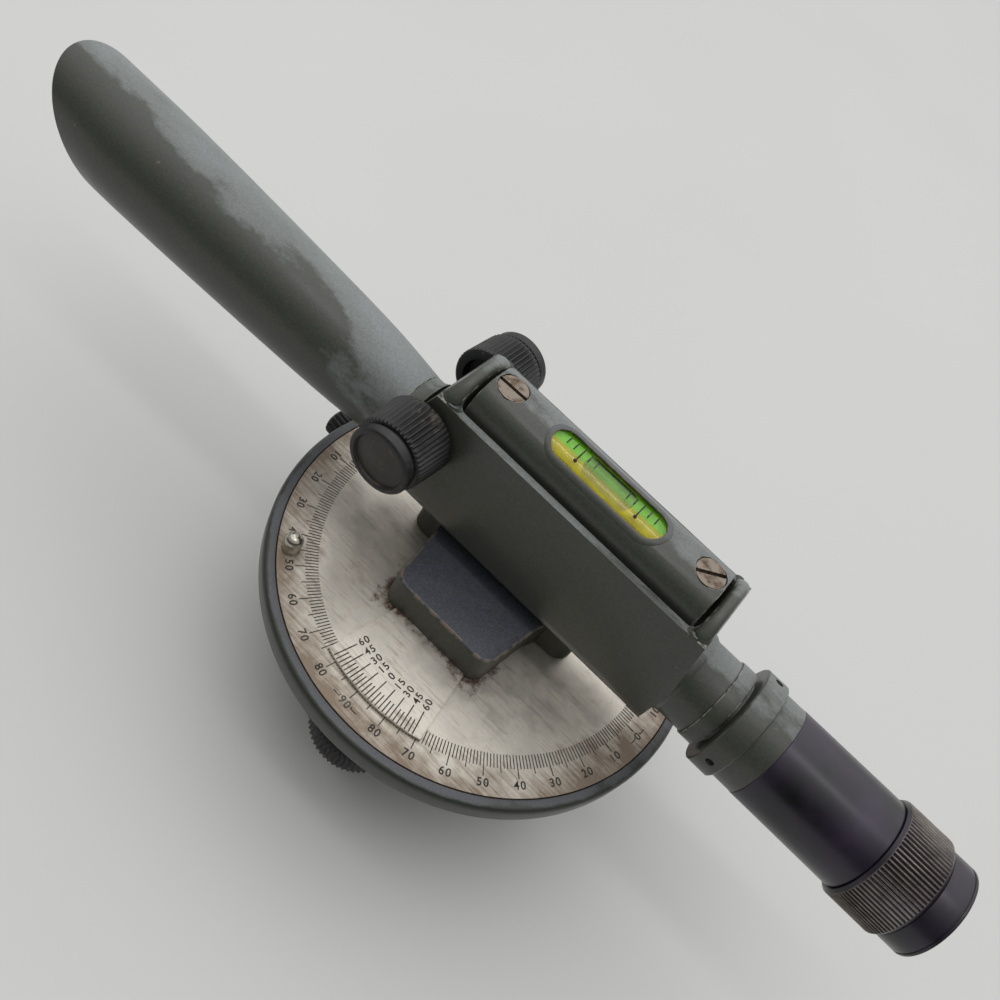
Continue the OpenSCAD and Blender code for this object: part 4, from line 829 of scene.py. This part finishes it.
class LEVEL_OT_vial(bpy.types.Operator):
    """Vial: raised border of its window, and index lines"""

    bl_idname = "level.vial"
    bl_label = "Level vial"

    def execute(self, context):
        s = context.scene.level_sizes
        low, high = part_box("vial_tube")
        mid, r = (low + high) / 2, (high.y - low.y) / 2
        holder_low, holder_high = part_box("vial_holder")
        flat_half = (holder_high.y - holder_low.y) / 2 - HOLDER_CORNER

        def surface(y):
            """Height of the holder's rounded top at a distance from its middle."""
            past = max(abs(y) - flat_half, 0.0)
            return holder_high.z - HOLDER_CORNER + math.sqrt(max(HOLDER_CORNER ** 2 - past ** 2, 0.0))

        bm, rings, steps = bmesh.new(), [], 96
        straight = 2 * (WINDOW_REACH - WINDOW_HALF)
        whole = 2 * straight + 2 * math.pi * WINDOW_HALF
        for i in range(steps):
            # Half the window's outline is a side and an end, and the other half is the same, turned.
            turned = -1 if i >= steps / 2 else 1
            d = i % (steps // 2) / steps * whole
            if d < straight:
                flat, n = Vector((d - straight / 2, -WINDOW_HALF)), Vector((0, -1))
            else:
                a = (d - straight) / WINDOW_HALF - math.pi / 2
                n = Vector((math.cos(a), math.sin(a)))
                flat = Vector((straight / 2, 0)) + n * WINDOW_HALF
            ring = []
            for out, up in BEAD:
                p = (flat + n * out * s.bead) * turned
                y = p.y + s.window_side
                ring.append(bm.verts.new((mid.x + p.x, y, surface(y) + up * MM)))
            rings.append(ring)
        join_rings(bm, rings + rings[:1], (0, 1), ends=False)
        piece("window_bead", bm, "alidade", ("bead", "bead_edge"))

        bm, wide = bmesh.new(), 0.15 * MM
        for side in (-1, 1):
            for k in range(-2, 3):
                x = mid.x + (0.1 + side * 8.2 + 1.9 * k) * MM
                start, stop = (-26, 17) if k == 0 else (-9, 16)
                if k == 0:
                    # The third line of each group starts in a dot.
                    a = math.radians(start)
                    dot = Matrix.Translation((x, r * math.sin(a), mid.z + r * math.cos(a)))
                    dot = dot @ Matrix.Rotation(-a, 4, "X") @ Matrix.Diagonal((1.0, 1.0, 0.3, 1.0))
                    bmesh.ops.create_uvsphere(bm, u_segments=16, v_segments=8, radius=0.42 * MM, matrix=dot)
                rows = []
                for i in range(9):
                    a = math.radians(start + (stop - start) * i / 8)
                    rows.append([bm.verts.new((x + dx, q * math.sin(a), mid.z + q * math.cos(a)))
                                 for dx, q in ((-wide, r + 0.01 * MM), (wide, r + 0.01 * MM),
                                               (wide, r + 0.05 * MM), (-wide, r + 0.05 * MM))])
                join_rings(bm, rows)
        piece("vial_index_lines", bm, "alidade", ("wax",))
        return {"FINISHED"}


class LEVEL_OT_metalwork(bpy.types.Operator):
    """Finishes of the solids that stay as they are: plate, screws, shafts, glass and liners"""

    bl_idname = "level.metalwork"
    bl_label = "Metalwork and glass"

    def execute(self, context):
        groups = {
            "silver": ("circle_plate", "vernier_plate"),
            "bright": ("finger_pin",),
            "rusty": ("vial_screws", "reticle_screws"),
            "steel": ("spindle", "spindle_screws", "spindle_retainer", "body_screws", "pan_screws", "clamp_screw",
                      "pinion_shaft", *("levelling_screw_%d" % i for i in range(1, 5))),
            "bronze": ("centre_socket", "ball_retainer", "pinion_bushes", "reticle_ring", "clamp_plug", "focus_slide",
                       "focus_rack", *("levelling_shoe_%d" % i for i in range(1, 5))),
            "anodised": ("ocular_barrel", "objective_ring"),
            "nylon": ("ball_liner",),
            "glass": ("objective_lens", "focus_lens", "reticle_glass", "field_lens", "eye_lens"),
            "acrylic": ("vial_tube",),
            "spirit": ("vial_spirit",),
        }
        for key, nodes in groups.items():
            for node in nodes:
                mesh = frame["nodes"][node].data
                mesh.materials.clear()
                mesh.materials.append(finish(key))
        return {"FINISHED"}


class LEVEL_OT_stage(bpy.types.Operator):
    """Pale floor, soft light and the camera"""

    bl_idname = "level.stage"
    bl_label = "Stage"

    def execute(self, context):
        scene = context.scene
        bm = bmesh.new()
        bmesh.ops.create_grid(bm, x_segments=2, y_segments=2, size=4.0)
        mesh = bpy.data.meshes.new("floor")
        bm.to_mesh(mesh)
        bm.free()
        floor = bpy.data.objects.new("floor", mesh)
        scene.collection.objects.link(floor)
        material, tree, shader, where = blank("matt_white_table")
        pale = scene.level_colours.floor
        cloud = add(tree, "TexNoise", {"Vector": where, "Scale": 1 / 0.25, "Detail": 3.0})
        tint = add(tree, RAMP, {"Fac": cloud}, ((0.3, hex_linear(pale, 0.96)), (0.7, hex_linear(pale))))
        plug(shader, {"Base Color": tint, "Roughness": 0.6})
        mesh.materials.append(material)

        world = bpy.data.worlds.new("soft_room")
        scene.world = world
        world.use_nodes = True
        tree = world.node_tree
        where = add(tree, "TexCoord", out="Generated")
        # The room is bright overhead and behind the level, and dark and greenish low down on the near side.
        level = add(tree, "VectorMath", {0: where, 1: (-0.1, 0.5, 1.0)}, operation="DOT_PRODUCT")
        level = add(tree, "MapRange", {"Value": level, "From Min": -0.5, "From Max": 1.1})
        tone = add(tree, RAMP, {"Fac": level}, ((0.0, (0.018, 0.020, 0.015, 1.0)), (0.36, (0.045, 0.052, 0.038, 1.0)),
                                                (0.62, grey(0.44)), (0.90, grey(1.0))))
        plug(tree.nodes["Background"], {"Color": tone, "Strength": 1.32})

        for name, (place, wide, deep, power) in LIGHTS.items():
            lamp = bpy.data.lights.new(name, "AREA")
            lamp.shape = "RECTANGLE"
            lamp.size, lamp.size_y = wide, deep
            lamp.energy = power
            obj = bpy.data.objects.new(name, lamp)
            obj.location = place
            obj.rotation_euler = (LIT_POINT - Vector(place)).to_track_quat("-Z", "Y").to_euler()
            scene.collection.objects.link(obj)

        camera = bpy.data.cameras.new("camera")
        camera.sensor_width = 36.0
        camera.lens = camera.sensor_width * FOCAL
        camera.clip_start = 0.01
        obj = bpy.data.objects.new("camera", camera)
        obj.matrix_world = Matrix.Translation(CAMERA_AT) @ Matrix(CAMERA_AXES).transposed().to_4x4()
        scene.collection.objects.link(obj)
        scene.camera = obj
        scene.view_settings.view_transform = "Standard"
        return {"FINISHED"}


OPERATORS = (LEVEL_OT_castings, LEVEL_OT_objective_tube, LEVEL_OT_eyepiece, LEVEL_OT_knobs, LEVEL_OT_graduations,
             LEVEL_OT_vernier_lines, LEVEL_OT_vial, LEVEL_OT_metalwork, LEVEL_OT_stage)


class LEVEL_PT_build(bpy.types.Panel):
    """Lists the steps that dress the level"""

    bl_idname = "LEVEL_PT_build"
    bl_label = "Builder's Level"
    bl_space_type = "VIEW_3D"
    bl_region_type = "UI"
    bl_category = "Level"

    def draw(self, context):
        for group in (context.scene.level_sizes, context.scene.level_colours):
            for name in group.bl_rna.properties.keys():
                if name not in ("rna_type", "name"):
                    self.layout.prop(group, name)
        for operator in OPERATORS:
            self.layout.operator(operator.bl_idname)


CLASSES = (LevelSizes, LevelColours) + OPERATORS + (LEVEL_PT_build,)


def register():
    for cls in CLASSES:
        bpy.utils.register_class(cls)
    bpy.types.Scene.level_sizes = PointerProperty(type=LevelSizes)
    bpy.types.Scene.level_colours = PointerProperty(type=LevelColours)


def unregister():
    del bpy.types.Scene.level_sizes
    del bpy.types.Scene.level_colours
    for cls in reversed(CLASSES):
        bpy.utils.unregister_class(cls)


def main():
    register()
    for step in ("castings", "objective_tube", "eyepiece", "knobs", "graduations", "vernier_lines", "vial",
                 "metalwork", "stage"):
        getattr(bpy.ops.level, step)()


if __name__ == "__main__":
    main()
